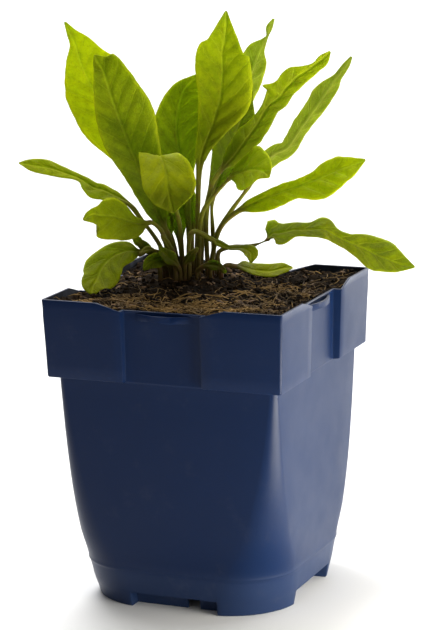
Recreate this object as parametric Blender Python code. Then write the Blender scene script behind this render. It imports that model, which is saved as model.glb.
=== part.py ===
"""A blue-eyed mary plant in its square nursery pot: pot, potting soil and eighteen leaves."""

import bpy
import numpy as np
from math import asin, cos, exp, pi, radians, sin, sqrt
from mathutils import Vector

MM = 0.001

# Pot sizes in millimetres, heights measured from the ground
RIM_HALF_WIDTH = 55.0
WALL = 1.2
GAP = 0.3
FLOOR_UNDER = 7.6
FLOOR_TOP = 9.2
PANEL_HALF_WIDTH = 18.0
PANEL_DEPTH = 3.8
RIM_DIP = 3.1
RIM_DIP_HALF_WIDTH = 29.5
FOOT_GAP_HALF_WIDTH = 20.0
FOOT_GAP_HEIGHT = 6.5
FOOT_GAP_DEPTH = 6.0
FOOT_WALL = 1.6
SLOT_FROM = 4.0
SLOT_TO = 10.0
SLOT_HEIGHT = 5.4
DRAIN_RADIUS = 3.5
DRAIN_OUT = 24.0
CORNER_POINTS = 6

# The label tab on each side: a thin strip that bows out of the set-back panel
TAB_FROM = 128.9
TAB_TO = 131.6
TAB_HALF_WIDTH = 13.0
TAB_BOW = 3.2
TAB_THICKNESS = 1.2
TAB_SHARES = (-1.0, -0.7, -0.35, 0.0, 0.35, 0.7, 1.0)
TAB_SLOT_HALF_WIDTH = 10.5

# The pot's outer wall: height, half width and corner radius
BODY = (
    (0.0, 46.0, 30.0),
    (FOOT_GAP_HEIGHT - 0.2, 46.9, 28.2),
    (FOOT_GAP_HEIGHT + 0.2, 47.0, 28.0),
    (16.2, 48.0, 25.2),
    (17.2, 48.3, 24.8),
    (18.4, 48.15, 24.2),
    (31.0, 49.2, 19.0),
    (51.0, 49.8, 12.5),
    (76.0, 50.1, 6.8),
    (101.4, 50.35, 3.0),
)

# The collar above it: height, half width, how far the panel in the middle of each side
# lies behind it, and how far the label tab bows out of the panel
COLLAR = (
    (102.2, 53.8, 3.45, 0.0),
    (TAB_FROM - 0.15, 54.8, PANEL_DEPTH, 0.0),
    (TAB_FROM + 0.15, 54.8, PANEL_DEPTH, TAB_BOW),
    (TAB_TO - 0.15, 54.8, PANEL_DEPTH, TAB_BOW),
    (TAB_TO + 0.15, 54.8, PANEL_DEPTH, 0.0),
    (136.0, RIM_HALF_WIDTH, PANEL_DEPTH, 0.0),
)
COLLAR_CORNER = 1.2
INNER_CORNER = 0.8
PANEL_OUT = 54.8 - PANEL_DEPTH

# Where the pot stands, the crown of the plant from its axis, and the plant's turn
POT_AT = (2.6, -6.3)
CROWN_FROM_POT = (-14.0, 11.0)
PLANT_TURN = radians(22.6)

# Soil, and the part of each leaf stalk that stands in it
SOIL_LEVEL = 132.2
CORNER_RISE = 1.3
MOUND_HEIGHT = 3.8
MOUND_SPREAD = 20.0
SOIL_CELLS = 26
STALK_FOOT = 125.0
STALK_STRAIGHT_TO = 137.5
STALK_RADIUS = 1.1

# Leaf blade section: thickness, midrib keel on the underside, points across
BLADE = 0.7
KEEL = 0.5
COLUMNS = 7

# Each leaf by its stations, in millimetres: right of the crown, behind it and above
# the ground as the plant faces the front, then half width left and right of the midrib.
# After them: the side direction at the blade's base and at its tip, how far the blade
# folds up along its midrib, and how far its margins wave.
LEAVES = {
    "leaf_upper_left_back": ((
        (-5, 5, 139, 1.1, 1.1),
        (-8, 7, 153, 1, 1),
        (-15, 11, 169, 1, 1),
        (-19, 13, 177, 2, 2),
        (-28, 17, 193, 9.5, 9.5),
        (-34, 19, 203, 13, 15),
        (-39, 20, 212, 13, 17),
        (-43, 21, 220, 12, 17),
        (-47, 20, 230, 7, 14),
        (-49, 18, 238, 2.5, 8),
        (-51, 17, 243, 1.5, 3.5),
        (-53, 16, 248, 0.5, 0.5),
    ), (1, 0.1, 0.45), (1, -0.1, 0.4), 0.15, 0.6),
    "leaf_upper_left_front": ((
        (-6, -1, 139, 1.1, 1.1),
        (-8, -4, 153, 1, 1),
        (-11, -5, 160, 2, 2),
        (-14, -6, 167, 4.5, 5.5),
        (-20, -9, 183, 7, 10),
        (-26, -11, 199, 10, 14),
        (-29, -12, 208, 10, 15.5),
        (-32, -12, 217, 8, 14),
        (-36, -11, 230, 4, 9),
        (-38, -10, 233, 2, 6),
        (-39, -10, 236, 0.5, 0.5),
    ), (1, 0.2, 0.4), (1, 0, 0.3), 0.2, 0.7),
    "leaf_centre_tall": ((
        (3, 1, 139, 1.1, 1.1),
        (4, 0, 164, 1, 1),
        (6, 2, 189, 3, 2.5),
        (11, 4, 202, 6.5, 7),
        (13, 5, 208, 8.5, 11),
        (15, 6, 215, 10, 13.5),
        (16, 6, 229, 12, 12.5),
        (16, 5, 235, 11, 11),
        (17, 4, 239, 8, 7.5),
        (18, 1, 249, 3, 2),
        (18, 0, 253, 0.5, 0.5),
    ), (1, 0.15, 0), (1, -0.1, 0), 0.14, 0.7),
    "leaf_centre_back": ((
        (0, 6, 139, 1.1, 1.1),
        (-1, 9, 162, 1, 1),
        (-2, 12, 173, 3.5, 3),
        (-3, 14, 184, 9, 6.5),
        (-5, 17, 200, 10.5, 13),
        (-3, 19, 212, 7.5, 11.5),
        (-1, 20, 217, 5, 9),
        (2, 20, 220, 3, 5.5),
        (7, 20, 224, 0.5, 0.5),
    ), (1, 0.1, 0), (1, 0.1, -0.4), 0.12, 0.5),
    "leaf_right_back_pale": ((
        (5, 7, 139, 1.1, 1.1),
        (7, 9, 162, 1, 1),
        (10, 12, 175, 1, 1),
        (12, 14, 186, 2, 2),
        (17, 16, 200, 3.5, 5.5),
        (25, 18, 215, 6, 6.5),
        (31, 18, 229, 5, 6.5),
        (33, 17, 234, 2, 5.5),
        (35, 16, 238, 1, 2),
        (36, 16, 240, 0.6, 0.6),
        (37, 15, 244, 1.5, 1.5),
        (39, 14, 248, 0.5, 0.5),
    ), (-0.85, -0.1, 0.5), (-0.85, -0.1, 0.5), 0.1, 0.5),
    "leaf_right_folded": ((
        (8, -1, 139, 1.1, 1.1),
        (8, -4, 164, 1, 1),
        (11, -7, 179, 1, 1),
        (15, -8, 185, 1.5, 1.5),
        (19, -8, 189, 4, 3),
        (27, -12, 200, 5.5, 5.5),
        (31, -14, 206, 3.5, 5.5),
        (36, -16, 214, 3.5, 5),
        (39, -16, 216, 8.5, 5),
        (41, -17, 218, 9, 4.5),
        (43, -17, 221, 5.5, 4.5),
        (45, -18, 223, 6, 4.5),
        (48, -18, 226, 5.5, 4.5),
        (51, -19, 228, 3.5, 4),
        (55, -20, 231, 1.2, 3.5),
        (59, -21, 234, 2, 3),
        (62, -22, 237, 0.5, 0.5),
    ), (0.75, 0.15, -0.65), (0.75, 0.1, -0.65), 0.14, 0.5),
    "leaf_right_long_pale": ((
        (10, 4, 139, 1.1, 1.1),
        (12, 6, 153, 1, 1),
        (19, 8, 164, 1, 1),
        (26, 10, 173, 1, 1),
        (31, 12, 181, 3.5, 3.5),
        (39, 15, 188, 4.5, 4),
        (44, 16, 190, 4, 3.5),
        (51, 20, 199, 3.5, 4.5),
        (58, 22, 208, 4, 5),
        (61, 24, 212, 4, 5.5),
        (65, 26, 217, 3.5, 4),
        (67, 27, 220, 2.5, 2),
        (72, 29, 226, 1.5, 1.5),
        (74, 30, 229, 0.5, 0.5),
    ), (-0.75, -0.1, 0.65), (-0.75, 0.1, 0.65), 0.1, 0.4),
    "leaf_right_inner": ((
        (11, 9, 139, 1.1, 1.1),
        (10.5, 9, 155, 1, 1),
        (10.5, 8.5, 168, 1, 1),
        (14, 8.5, 179, 4.5, 4.5),
        (18, 9, 189, 7.5, 7.5),
        (22, 10, 199, 7.5, 7.5),
        (25, 11, 207, 5, 5.5),
        (27.5, 11, 213, 2, 2),
        (29, 11, 217, 0.5, 0.5),
    ), (1, 0.1, -0.45), (1, 0.1, -0.45), 0.12, 0.5),
    "leaf_right_small": ((
        (4, -4, 139, 1.1, 1.1),
        (6, -6, 165, 1, 1),
        (11, -8, 173, 1, 1),
        (18, -11, 181, 1, 1),
        (20, -13, 183, 3.5, 3),
        (24, -17, 185, 8.5, 7.5),
        (28, -24, 187, 10.5, 10.5),
        (33, -31, 187, 5.5, 6),
        (35, -34, 185, 0.5, 0.5),
    ), (-0.3, -0.5, -0.8), (-0.3, -0.5, -0.8), 0.12, 0.4),
    "leaf_right_low_bright": ((
        (9, -6, 139, 1.1, 1.1),
        (13, -8, 157, 1, 1),
        (17, -10, 163, 1, 1),
        (22, -12, 167, 2, 1.5),
        (33, -16, 173, 3, 6.5),
        (40, -18, 176, 3.5, 7),
        (47, -22, 179, 3, 6),
        (54, -25, 182, 3.5, 9.5),
        (60, -28, 185, 6, 10.5),
        (66, -31, 188, 5.5, 8.5),
        (71, -33, 190, 3, 5.5),
        (76, -35, 192, 0.5, 0.5),
    ), (0.2, -0.55, -0.8), (0.2, -0.55, -0.8), 0.1, 0.6),
    "leaf_right_drooping": ((
        (13, 2, 139, 1.1, 1.1),
        (13, 4, 146, 1, 1),
        (19, 5, 148, 1, 1),
        (27, 6, 148, 1, 1),
        (35, 6, 151, 1, 1),
        (37, 6, 153.5, 7.5, 5.5),
        (39.5, 6, 153.5, 6.5, 7),
        (42, 6, 154, 5, 7),
        (47, 6, 155, 4.5, 4.5),
        (54, 6, 155, 4.5, 5),
        (60, 6, 155, 7, 6.5),
        (65, 6, 152, 4, 5),
        (71, 5, 149, 5, 5),
        (78, 5, 146, 8.5, 8),
        (84, 4, 143, 10, 10),
        (89, 3, 141, 9, 8),
        (94, 3, 139, 5.5, 4.5),
        (100, 2, 138, 0.5, 0.5),
    ), (0, -0.8, -0.6), (-0.3, -0.7, -0.6), 0.08, 0.5),
    "leaf_front_right_small": ((
        (0, -9, 139, 1.1, 1.1),
        (0, -10, 153, 1, 1),
        (2, -11, 158, 1.5, 1.5),
        (13, -13, 153, 2, 2),
        (18, -14, 151, 1.5, 1.5),
        (24, -16, 151, 3.5, 3),
        (27, -17, 149, 4, 4),
        (27, -18, 145, 0.5, 0.5),
    ), (0, -0.7, -0.7), (-0.8, -0.5, 0), 0.1, 0.2),
    "leaf_soil_flat": ((
        (14, -3, 139, 1.1, 1.1),
        (16, -2, 141, 1, 1),
        (20, 1, 140, 1.5, 1.5),
        (24, 3, 139, 3.5, 2.5),
        (29, 7, 137, 4, 4),
        (36, 9, 136, 4.5, 4.5),
        (42, 10, 137, 3.5, 3.5),
        (46, 11, 137, 0.5, 0.5),
    ), (0, -0.85, -0.5), (0, -0.85, -0.5), 0.1, 0.2),
    "leaf_front_arching": ((
        (-3, -5, 139, 1.1, 1.1),
        (-4, -8, 161, 1, 1),
        (-7, -11, 174, 1, 1),
        (-8, -13, 182, 1.5, 1.5),
        (-11, -17, 189, 5.5, 5.5),
        (-12, -23, 193, 6.5, 8),
        (-11, -31, 194, 7, 9.5),
        (-9, -37, 189, 11, 10.5),
        (-8, -41, 183, 12, 10.5),
        (-7, -43, 177, 9, 7),
        (-6, -44, 172, 0.5, 0.5),
    ), (-1, 0, 0), (-1, 0, 0), 0.08, 0.6),
    "leaf_left_long": ((
        (-10, 4, 139, 1.1, 1.1),
        (-13, 5, 149, 1, 1),
        (-22, 7, 162, 1, 1),
        (-25, 8, 166, 1.5, 1.5),
        (-30, 9, 170, 4, 2),
        (-34, 10, 172, 6.5, 3),
        (-38, 10, 174, 6.5, 3),
        (-42, 10, 175, 7, 3),
        (-45, 10, 177, 5.5, 3),
        (-48, 10, 179, 2.5, 2.5),
        (-57, 8, 183, 4, 3.5),
        (-62, 6, 185, 4.5, 4),
        (-70, 2, 187, 3.5, 2.5),
        (-74, 0, 188, 0.5, 0.5),
    ), (0, 0.8, 0.6), (0, 0.7, 0.7), 0.08, 0.4),
    "leaf_left_broad": ((
        (-8, -5, 139, 1.1, 1.1),
        (-10, -7, 151, 1, 1),
        (-12, -8, 158, 1, 1),
        (-16, -9, 162, 1, 1),
        (-19, -11, 162, 2.5, 2),
        (-23, -14, 163, 7, 3),
        (-28, -17, 165, 10, 6.5),
        (-33, -20, 167, 11, 8.5),
        (-38, -23, 168, 10.5, 5.5),
        (-41, -26, 169, 8, 2.5),
        (-43, -27, 168, 3.5, 2),
        (-45, -28, 167, 0.5, 0.5),
    ), (0.2, 0.6, 0.7), (0.2, 0.5, 0.8), 0.08, 0.5),
    "leaf_front_left_drooping": ((
        (-11, -1, 139, 1.1, 1.1),
        (-14, -4, 148, 1, 1),
        (-18, -6, 149, 1, 1),
        (-22, -8, 149, 2.5, 1.5),
        (-26, -10, 150, 6, 5),
        (-31, -12, 149, 7, 6),
        (-35, -14, 147, 8.5, 6.5),
        (-38, -17, 144, 9.5, 8),
        (-40, -21, 140, 9, 6.5),
        (-42, -25, 137, 6.5, 5),
        (-42, -28, 134.3, 1.5, 1),
    ), (0, 0.7, 0.7), (-0.95, 0.2, 0.2), 0.06, 0.5),
    "leaflet_left": ((
        (-13, -6, 139, 1.1, 1.1),
        (-15, -7, 148, 1, 1),
        (-17, -9, 150, 2, 2),
        (-19, -11, 150, 2.5, 2),
        (-22, -13, 148, 0.5, 0.5),
    ), (0.3, 0.7, 0.6), (0.3, 0.7, 0.6), 0.1, 0.2),
    "leaflet_front": ((
        (-6, -9.5, 139, 1.1, 1.1),
        (-7, -10, 149, 1, 1),
        (-9, -11, 152, 2, 2),
        (-10, -12, 154, 2, 2),
        (-12, -12, 157, 0.5, 0.5),
    ), (1, 0.2, 0.3), (1, 0.2, 0.3), 0.15, 0.2),
}


def clear_scene():
    for old in list(bpy.data.objects):
        bpy.data.objects.remove(old, do_unlink=True)


def make_material(name, colour, roughness):
    material = bpy.data.materials.new(name)
    material.use_nodes = True
    shader = material.node_tree.nodes["Principled BSDF"]
    shader.inputs["Base Color"].default_value = (*colour, 1.0)
    shader.inputs["Roughness"].default_value = roughness
    shader.inputs["Metallic"].default_value = 0.0
    return material


def make_object(name, points, faces, material, collection):
    mesh = bpy.data.meshes.new(name)
    mesh.from_pydata([tuple(p) for p in points], [], faces)
    mesh.update()
    made = bpy.data.objects.new(name, mesh)
    collection.objects.link(made)
    if material:
        mesh.materials.append(material)
    return made


# Pot outline
def outline_depth(across, half, corner):
    """How far out the rounded square's side lies at this place along it."""
    past = abs(across) - (half - corner)
    if past <= 0.0:
        return half
    return half - corner + sqrt(max(0.0, corner * corner - past * past))


def square_ring(height, half, corner, notch_half, notch_depth, dip=0.0, bow=0.0):
    """One level of the pot: a rounded square with a set-back stretch along each side."""
    side_end = RIM_DIP_HALF_WIDTH - (RIM_HALF_WIDTH - half) * 0.5
    start = asin(max(0.0, min(1.0, (side_end - (half - corner)) / corner)))
    run = [(-side_end, 0.0, 0.0), (-notch_half - 0.3, 0.0, dip), (-notch_half + 0.3, notch_depth, dip)]
    for share in TAB_SHARES:
        run.append((share * TAB_HALF_WIDTH, notch_depth - bow * (1 - share * share), dip))
    run += [(notch_half - 0.3, notch_depth, dip), (notch_half + 0.3, 0.0, dip), (side_end, 0.0, 0.0)]
    ring = []
    for quarter in range(4):
        turn = quarter * pi / 2
        side = []
        for across, depth, drop in run:
            out = outline_depth(across, half, corner) - depth
            side.append((across, -out, height - drop))
        centre = half - corner
        for step in range(CORNER_POINTS):
            angle = start + (pi / 2 - 2 * start) * (step + 0.5) / CORNER_POINTS
            side.append((centre + corner * sin(angle), -centre - corner * cos(angle), height))
        for x, y, z in side:
            ring.append((x * cos(turn) - y * sin(turn), x * sin(turn) + y * cos(turn), z))
    return ring


def loft(rings):
    """Closed skin through rings of equal length, with a flat face at each end."""
    count = len(rings[0])
    points = [p for ring in rings for p in ring]
    faces = [tuple(reversed(range(count)))]
    for level in range(len(rings) - 1):
        for i in range(count):
            j = (i + 1) % count
            a = level * count
            b = a + count
            faces.append((a + i, a + j, b + j, b + i))
    last = (len(rings) - 1) * count
    faces.append(tuple(range(last, last + count)))
    return points, faces


def body_size(height):
    """Half width and corner radius of the outer wall at a height."""
    heights = [row[0] for row in BODY]
    half = float(np.interp(height, heights, [row[1] for row in BODY]))
    corner = float(np.interp(height, heights, [row[2] for row in BODY]))
    return half, corner


def outer_rings():
    rings = []
    for height, half, corner in BODY:
        in_gap = height < FOOT_GAP_HEIGHT
        depth = FOOT_GAP_DEPTH if in_gap else 0.0
        notch = FOOT_GAP_HALF_WIDTH if height < 17.2 else PANEL_HALF_WIDTH
        rings.append(square_ring(height, half, corner, notch, depth))
    for height, half, depth, bow in COLLAR:
        dip = RIM_DIP if height == COLLAR[-1][0] else 0.0
        rings.append(square_ring(height, half, COLLAR_CORNER, PANEL_HALF_WIDTH, depth, dip, bow))
    return rings


def inner_rings(less, top_dip, top):
    """Levels of the pot's inside from the rim down to the floor, set in by a distance."""
    notch = PANEL_HALF_WIDTH + less
    rings = [
        square_ring(top, RIM_HALF_WIDTH - less, INNER_CORNER, notch, PANEL_DEPTH, top_dip),
        square_ring(103.6, 53.85 - less, INNER_CORNER, notch, 3.45),
        square_ring(102.6 + less - WALL, 50.3 - less, 2.0, notch, 0.0),
    ]
    for height in (76.0, 51.0, 31.0, 19.0):
        half, corner = body_size(height)
        rings.append(square_ring(height, half - less, max(2.0, corner - less), notch, 0.0))
    floor = FLOOR_TOP + less - WALL
    half, corner = body_size(floor + 2.0)
    rings.append(square_ring(floor + 2.0, half - less - 0.2, corner - less, notch, 0.0))
    rings.append(square_ring(floor, half - less - 1.6, corner - less - 1.4, notch, 0.0))
    return rings


def foot_rings():
    """The hollow under the floor, from the ground up."""
    notch = FOOT_GAP_HALF_WIDTH + FOOT_WALL
    half, corner = body_size(0.0)
    low = square_ring(0.0, half - FOOT_WALL, corner - FOOT_WALL, notch, FOOT_GAP_DEPTH)
    half, corner = body_size(FLOOR_UNDER)
    high = square_ring(FLOOR_UNDER, half - FOOT_WALL, corner - FOOT_WALL, notch, FOOT_GAP_DEPTH)
    return [low, high]


def make_cutter(name, add, collection):
    """A shape used to cut the pot or the soil, kept out of the model itself."""
    add()
    cutter = bpy.context.object
    cutter.name = name
    for other in list(cutter.users_collection):
        other.objects.unlink(cutter)
    collection.objects.link(cutter)
    cutter.hide_render = True
    cutter.display_type = "WIRE"
    return cutter


def make_label_slot(name, collection):
    """The crescent behind a label tab, open at its top and bottom."""
    plan = []
    for across in np.linspace(-TAB_SLOT_HALF_WIDTH, TAB_SLOT_HALF_WIDTH, 9):
        bow = TAB_BOW * (1 - (across / TAB_HALF_WIDTH) ** 2)
        plan.append((across, -(PANEL_OUT + bow - TAB_THICKNESS)))
    plan += [(x, 0.15 - PANEL_OUT) for x in (TAB_SLOT_HALF_WIDTH, -TAB_SLOT_HALF_WIDTH)]
    count = len(plan)
    points = [(x, y, height) for height in (TAB_FROM - 0.5, TAB_TO + 0.5) for x, y in plan]
    faces = [tuple(reversed(range(count))), tuple(range(count, 2 * count))]
    for i in range(count):
        j = (i + 1) % count
        faces.append((i, j, j + count, i + count))
    slot = make_object(name, [Vector(p) * MM for p in points], faces, None, collection)
    slot.hide_render = True
    slot.display_type = "WIRE"
    return slot


def cut(body, cutter):
    boolean = body.modifiers.new("cut_" + cutter.name, "BOOLEAN")
    boolean.operation = "DIFFERENCE"
    boolean.solver = "EXACT"
    boolean.object = cutter


def make_pot(collection, cutters, material, parent):
    rings = foot_rings()[::-1] + outer_rings() + inner_rings(WALL, RIM_DIP, COLLAR[-1][0])
    points, faces = loft(rings)
    pot = make_object("pot", [Vector(p) * MM for p in points], faces, material, collection)
    pot.parent = parent
    for quarter in range(4):
        turn = quarter * pi / 2
        across = (SLOT_FROM + SLOT_TO) / 2
        out = -40.0
        place = (across * cos(turn) - out * sin(turn), across * sin(turn) + out * cos(turn), 0.0)

        def add_slot():
            bpy.ops.mesh.primitive_cube_add(size=1.0)
            box = bpy.context.object
            box.scale = ((SLOT_TO - SLOT_FROM) * MM, 7.0 * MM, 2 * SLOT_HEIGHT * MM)
            bpy.ops.object.transform_apply(location=False, rotation=False, scale=True)

        slot = make_cutter(f"foot_slot_cutter_{quarter + 1}", add_slot, cutters)
        slot.parent = parent
        slot.location = Vector(place) * MM
        slot.rotation_euler = (0.0, 0.0, turn)
        cut(pot, slot)
        label_slot = make_label_slot(f"label_slot_cutter_{quarter + 1}", cutters)
        label_slot.parent = parent
        label_slot.rotation_euler = (0.0, 0.0, turn)
        cut(pot, label_slot)
    holes = [(0.0, 0.0, DRAIN_RADIUS + 1.0)]
    holes += [(x * DRAIN_OUT, y * DRAIN_OUT, DRAIN_RADIUS) for x in (-1, 1) for y in (-1, 1)]
    for index, (x, y, radius) in enumerate(holes):

        def add_hole():
            bpy.ops.mesh.primitive_cylinder_add(
                vertices=20, radius=radius * MM, depth=6.0 * MM, end_fill_type="NGON")

        hole = make_cutter(f"drain_hole_cutter_{index + 1}", add_hole, cutters)
        hole.parent = parent
        hole.location = (x * MM, y * MM, (FLOOR_UNDER + FLOOR_TOP) / 2 * MM)
        cut(pot, hole)
    return pot


# Soil
def soil_height(x, y):
    """Relief of the soil: a low mound at the crown, small clods and a rise in each corner."""
    dx = x - CROWN_FROM_POT[0]
    dy = y - CROWN_FROM_POT[1]
    mound = MOUND_HEIGHT * exp(-(dx * dx + dy * dy) / (2 * MOUND_SPREAD * MOUND_SPREAD))
    corner = CORNER_RISE * min(1.0, (x * y) ** 2 / RIM_HALF_WIDTH ** 4)
    clods = 0.4 * sin(0.31 * x + 0.7) * cos(0.27 * y - 0.4) + 0.3 * sin(0.61 * x - 0.5 * y)
    near = exp(-(dx * dx + dy * dy) / (2 * 13.0 * 13.0))
    return SOIL_LEVEL + mound + corner + clods * (1.0 - 0.8 * near)


def make_soil(collection, cutters, material, parent, roots):
    less = WALL + GAP
    points, faces = loft(inner_rings(less, 0.0, 142.0)[::-1])
    soil = make_object("potting_soil", [Vector(p) * MM for p in points], faces, material, collection)
    soil.parent = parent

    for index, (x, y, radius) in enumerate(roots):

        def add_hole():
            bpy.ops.mesh.primitive_cylinder_add(
                vertices=12, radius=(radius + GAP + 0.05) * MM, depth=30.0 * MM)

        hole = make_cutter(f"stalk_hole_cutter_{index + 1}", add_hole, cutters)
        hole.parent = parent
        hole.location = (x * MM, y * MM, (STALK_FOOT - GAP + 15.0) * MM)
        cut(soil, hole)

    side = RIM_HALF_WIDTH + 5.0
    cells = SOIL_CELLS
    points = []
    for row in range(cells + 1):
        for column in range(cells + 1):
            x = side * (2.0 * column / cells - 1.0)
            y = side * (2.0 * row / cells - 1.0)
            points.append((x, y, soil_height(x, y)))
    top = len(points)
    points += [(x, y, 160.0) for x, y, z in points]
    faces = []
    wide = cells + 1
    for row in range(cells):
        for column in range(cells):
            a = row * wide + column
            faces.append((a, a + wide, a + wide + 1, a + 1))
            faces.append((top + a, top + a + 1, top + a + wide + 1, top + a + wide))
    for k in range(cells):
        for a, b in (
            (k, k + 1),
            (cells * wide + k + 1, cells * wide + k),
            ((k + 1) * wide, k * wide),
            (k * wide + cells, (k + 1) * wide + cells),
        ):
            faces.append((a, b, top + b, top + a))
    above = make_object("air_above_soil", [Vector(p) * MM for p in points], faces, None, cutters)
    above.parent = parent
    above.hide_render = True
    above.display_type = "WIRE"
    cut(soil, above)
    return soil


# Leaves
def smooth_path(stations):
    """Stations and the points between them on a smooth curve, closer together on the blade."""
    knots = np.array(stations, float)
    knots = np.vstack([2 * knots[0] - knots[1], knots, 2 * knots[-1] - knots[-2]])
    path = []
    for i in range(1, len(knots) - 2):
        p0, p1, p2, p3 = knots[i - 1:i + 3]
        span = np.linalg.norm((p2 - p1)[:3])
        wide = max(p1[3], p2[3])
        if i == 1:
            steps = 1
        elif wide <= 1.2:
            steps = max(1, round(span / 12.0))
        else:
            steps = max(1, round(span / 5.5))
        times = [0.0]
        for a, b in ((p0, p1), (p1, p2), (p2, p3)):
            times.append(times[-1] + max(0.03, sqrt(np.linalg.norm((b - a)[:3]))))
        t0, t1, t2, t3 = times
        for step in range(steps):
            t = t1 + (t2 - t1) * step / steps
            a1 = (t1 - t) / (t1 - t0) * p0 + (t - t0) / (t1 - t0) * p1
            a2 = (t2 - t) / (t2 - t1) * p1 + (t - t1) / (t2 - t1) * p2
            a3 = (t3 - t) / (t3 - t2) * p2 + (t - t2) / (t3 - t2) * p3
            b1 = (t2 - t) / (t2 - t0) * a1 + (t - t0) / (t2 - t0) * a2
            b2 = (t3 - t) / (t3 - t1) * a2 + (t - t1) / (t3 - t1) * a3
            path.append((t2 - t) / (t2 - t1) * b1 + (t - t1) / (t2 - t1) * b2)
    path.append(knots[-2])
    return np.array(path)


def blade_section(across, left, right, blend, bend, stalk):
    """Points of one cross-section, top face then underside, as (sideways, upward) pairs."""
    section = []
    for face in (1, -1):
        row = []
        for u in across:
            half = left if u < 0 else right
            angle = u * 0.84 * pi / 2
            side = (1 - blend) * stalk * sin(angle) + blend * u * half
            lift = bend(u)
            keel = KEEL * max(0.0, 1 - 3 * abs(u)) if face < 0 else 0.0
            up = (1 - blend) * face * stalk * cos(angle) + blend * (lift + face * BLADE / 2 - keel)
            row.append((side, up))
        section += row if face > 0 else row[::-1]
    return section


def leaf_mesh(stations, side_base, side_tip, fold, wave):
    """One leaf as a closed skin: a round stalk that widens into a folded, waved blade."""
    x, y, _, radius, _ = stations[0]
    foot = [(x, y, STALK_FOOT, radius, radius), (x, y, STALK_STRAIGHT_TO, radius, radius)]
    path = smooth_path(foot + list(stations))
    spine = path[:, :3]
    left = np.maximum(path[:, 3], 0.35)
    right = np.maximum(path[:, 4], 0.35)
    run = np.concatenate([[0.0], np.cumsum(np.linalg.norm(np.diff(spine, axis=0), axis=1))])
    ahead = np.gradient(spine, axis=0)
    ahead /= np.linalg.norm(ahead, axis=1)[:, None]
    begin = run[int(np.argmax(left + right > 3.0))]
    across = np.linspace(-1.0, 1.0, COLUMNS)
    side_base = np.array(side_base, float)
    side_tip = np.array(side_tip, float)
    points = []
    for k in range(len(spine)):
        along = min(1.0, max(0.0, (run[k] - begin) / (run[-1] - begin)))
        side = side_base * (1 - along) + side_tip * along
        side -= side.dot(ahead[k]) * ahead[k]
        side /= np.linalg.norm(side)
        up = np.cross(side, ahead[k])
        half = (left[k] + right[k]) / 2
        blend = min(1.0, max(0.0, (half - 1.2) / 2.0)) if run[k] < begin + 10 else 1.0
        blend = blend * blend * (3 - 2 * blend)
        strength = wave * min(1.0, half / 7.0)

        def bend(u):
            width = left[k] if u < 0 else right[k]
            shift = 0.0 if u < 0 else 2.0
            ripple = strength * u * u * sin(2 * pi * (2.1 * along + 0.17) + shift)
            return fold * abs(u) * width + ripple

        section = blade_section(across, left[k], right[k], blend, bend, min(half, 1.15))
        for sideways, upward in section:
            points.append(spine[k] + sideways * side + upward * up)
    ring = 2 * COLUMNS
    faces = []
    for k in range(len(spine) - 1):
        for j in range(ring):
            a = k * ring + j
            b = k * ring + (j + 1) % ring
            c = b + ring
            d = a + ring
            if j < COLUMNS:
                faces += [(a, b, c), (a, c, d)]
            else:
                faces += [(a, b, d), (b, c, d)]
    for start, outward in ((0, False), ((len(spine) - 1) * ring, True)):
        for j in range(COLUMNS - 1):
            a, b = start + j, start + j + 1
            c, d = start + ring - 2 - j, start + ring - 1 - j
            quad = (a, b, c, d)
            faces.append(quad if outward else quad[::-1])
    return points, faces


def make_leaves(collection, material, parent):
    roots = []
    for name, (stations, side_base, side_tip, fold, wave) in LEAVES.items():
        points, faces = leaf_mesh(stations, side_base, side_tip, fold, wave)
        leaf = make_object(name, [Vector(p) * MM for p in points], faces, material, collection)
        leaf.parent = parent
        leaf.data.shade_smooth()
        x, y = stations[0][:2]
        c, s = cos(PLANT_TURN), sin(PLANT_TURN)
        roots.append((
            CROWN_FROM_POT[0] + x * c - y * s,
            CROWN_FROM_POT[1] + x * s + y * c,
            stations[0][3],
        ))
    return roots


def main():
    clear_scene()
    scene = bpy.context.scene.collection
    parts = bpy.data.collections.new("potted_blue_eyed_mary")
    cutters = bpy.data.collections.new("cutters")
    scene.children.link(parts)
    scene.children.link(cutters)

    pot_stand = bpy.data.objects.new("pot_stand", None)
    pot_stand.location = (POT_AT[0] * MM, POT_AT[1] * MM, 0.0)
    parts.objects.link(pot_stand)
    crown = bpy.data.objects.new("crown_point", None)
    crown.location = (
        (POT_AT[0] + CROWN_FROM_POT[0]) * MM, (POT_AT[1] + CROWN_FROM_POT[1]) * MM, 0.0)
    crown.rotation_euler = (0.0, 0.0, PLANT_TURN)
    parts.objects.link(crown)

    plastic = make_material("blue_pot_plastic", (0.026, 0.040, 0.125), 0.38)
    soil = make_material("dark_potting_soil", (0.035, 0.024, 0.015), 0.95)
    leaf = make_material("green_leaf", (0.30, 0.42, 0.02), 0.5)

    roots = make_leaves(parts, leaf, crown)
    make_pot(parts, cutters, plastic, pot_stand)
    make_soil(parts, cutters, soil, pot_stand, roots)


main()
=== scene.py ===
"""Looks of the potted blue-eyed mary: fine pot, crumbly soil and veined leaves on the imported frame."""

from math import asin, cos, exp, pi, radians, sin, sqrt

import bpy
import numpy as np
from mathutils import Matrix, Vector, noise


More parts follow.
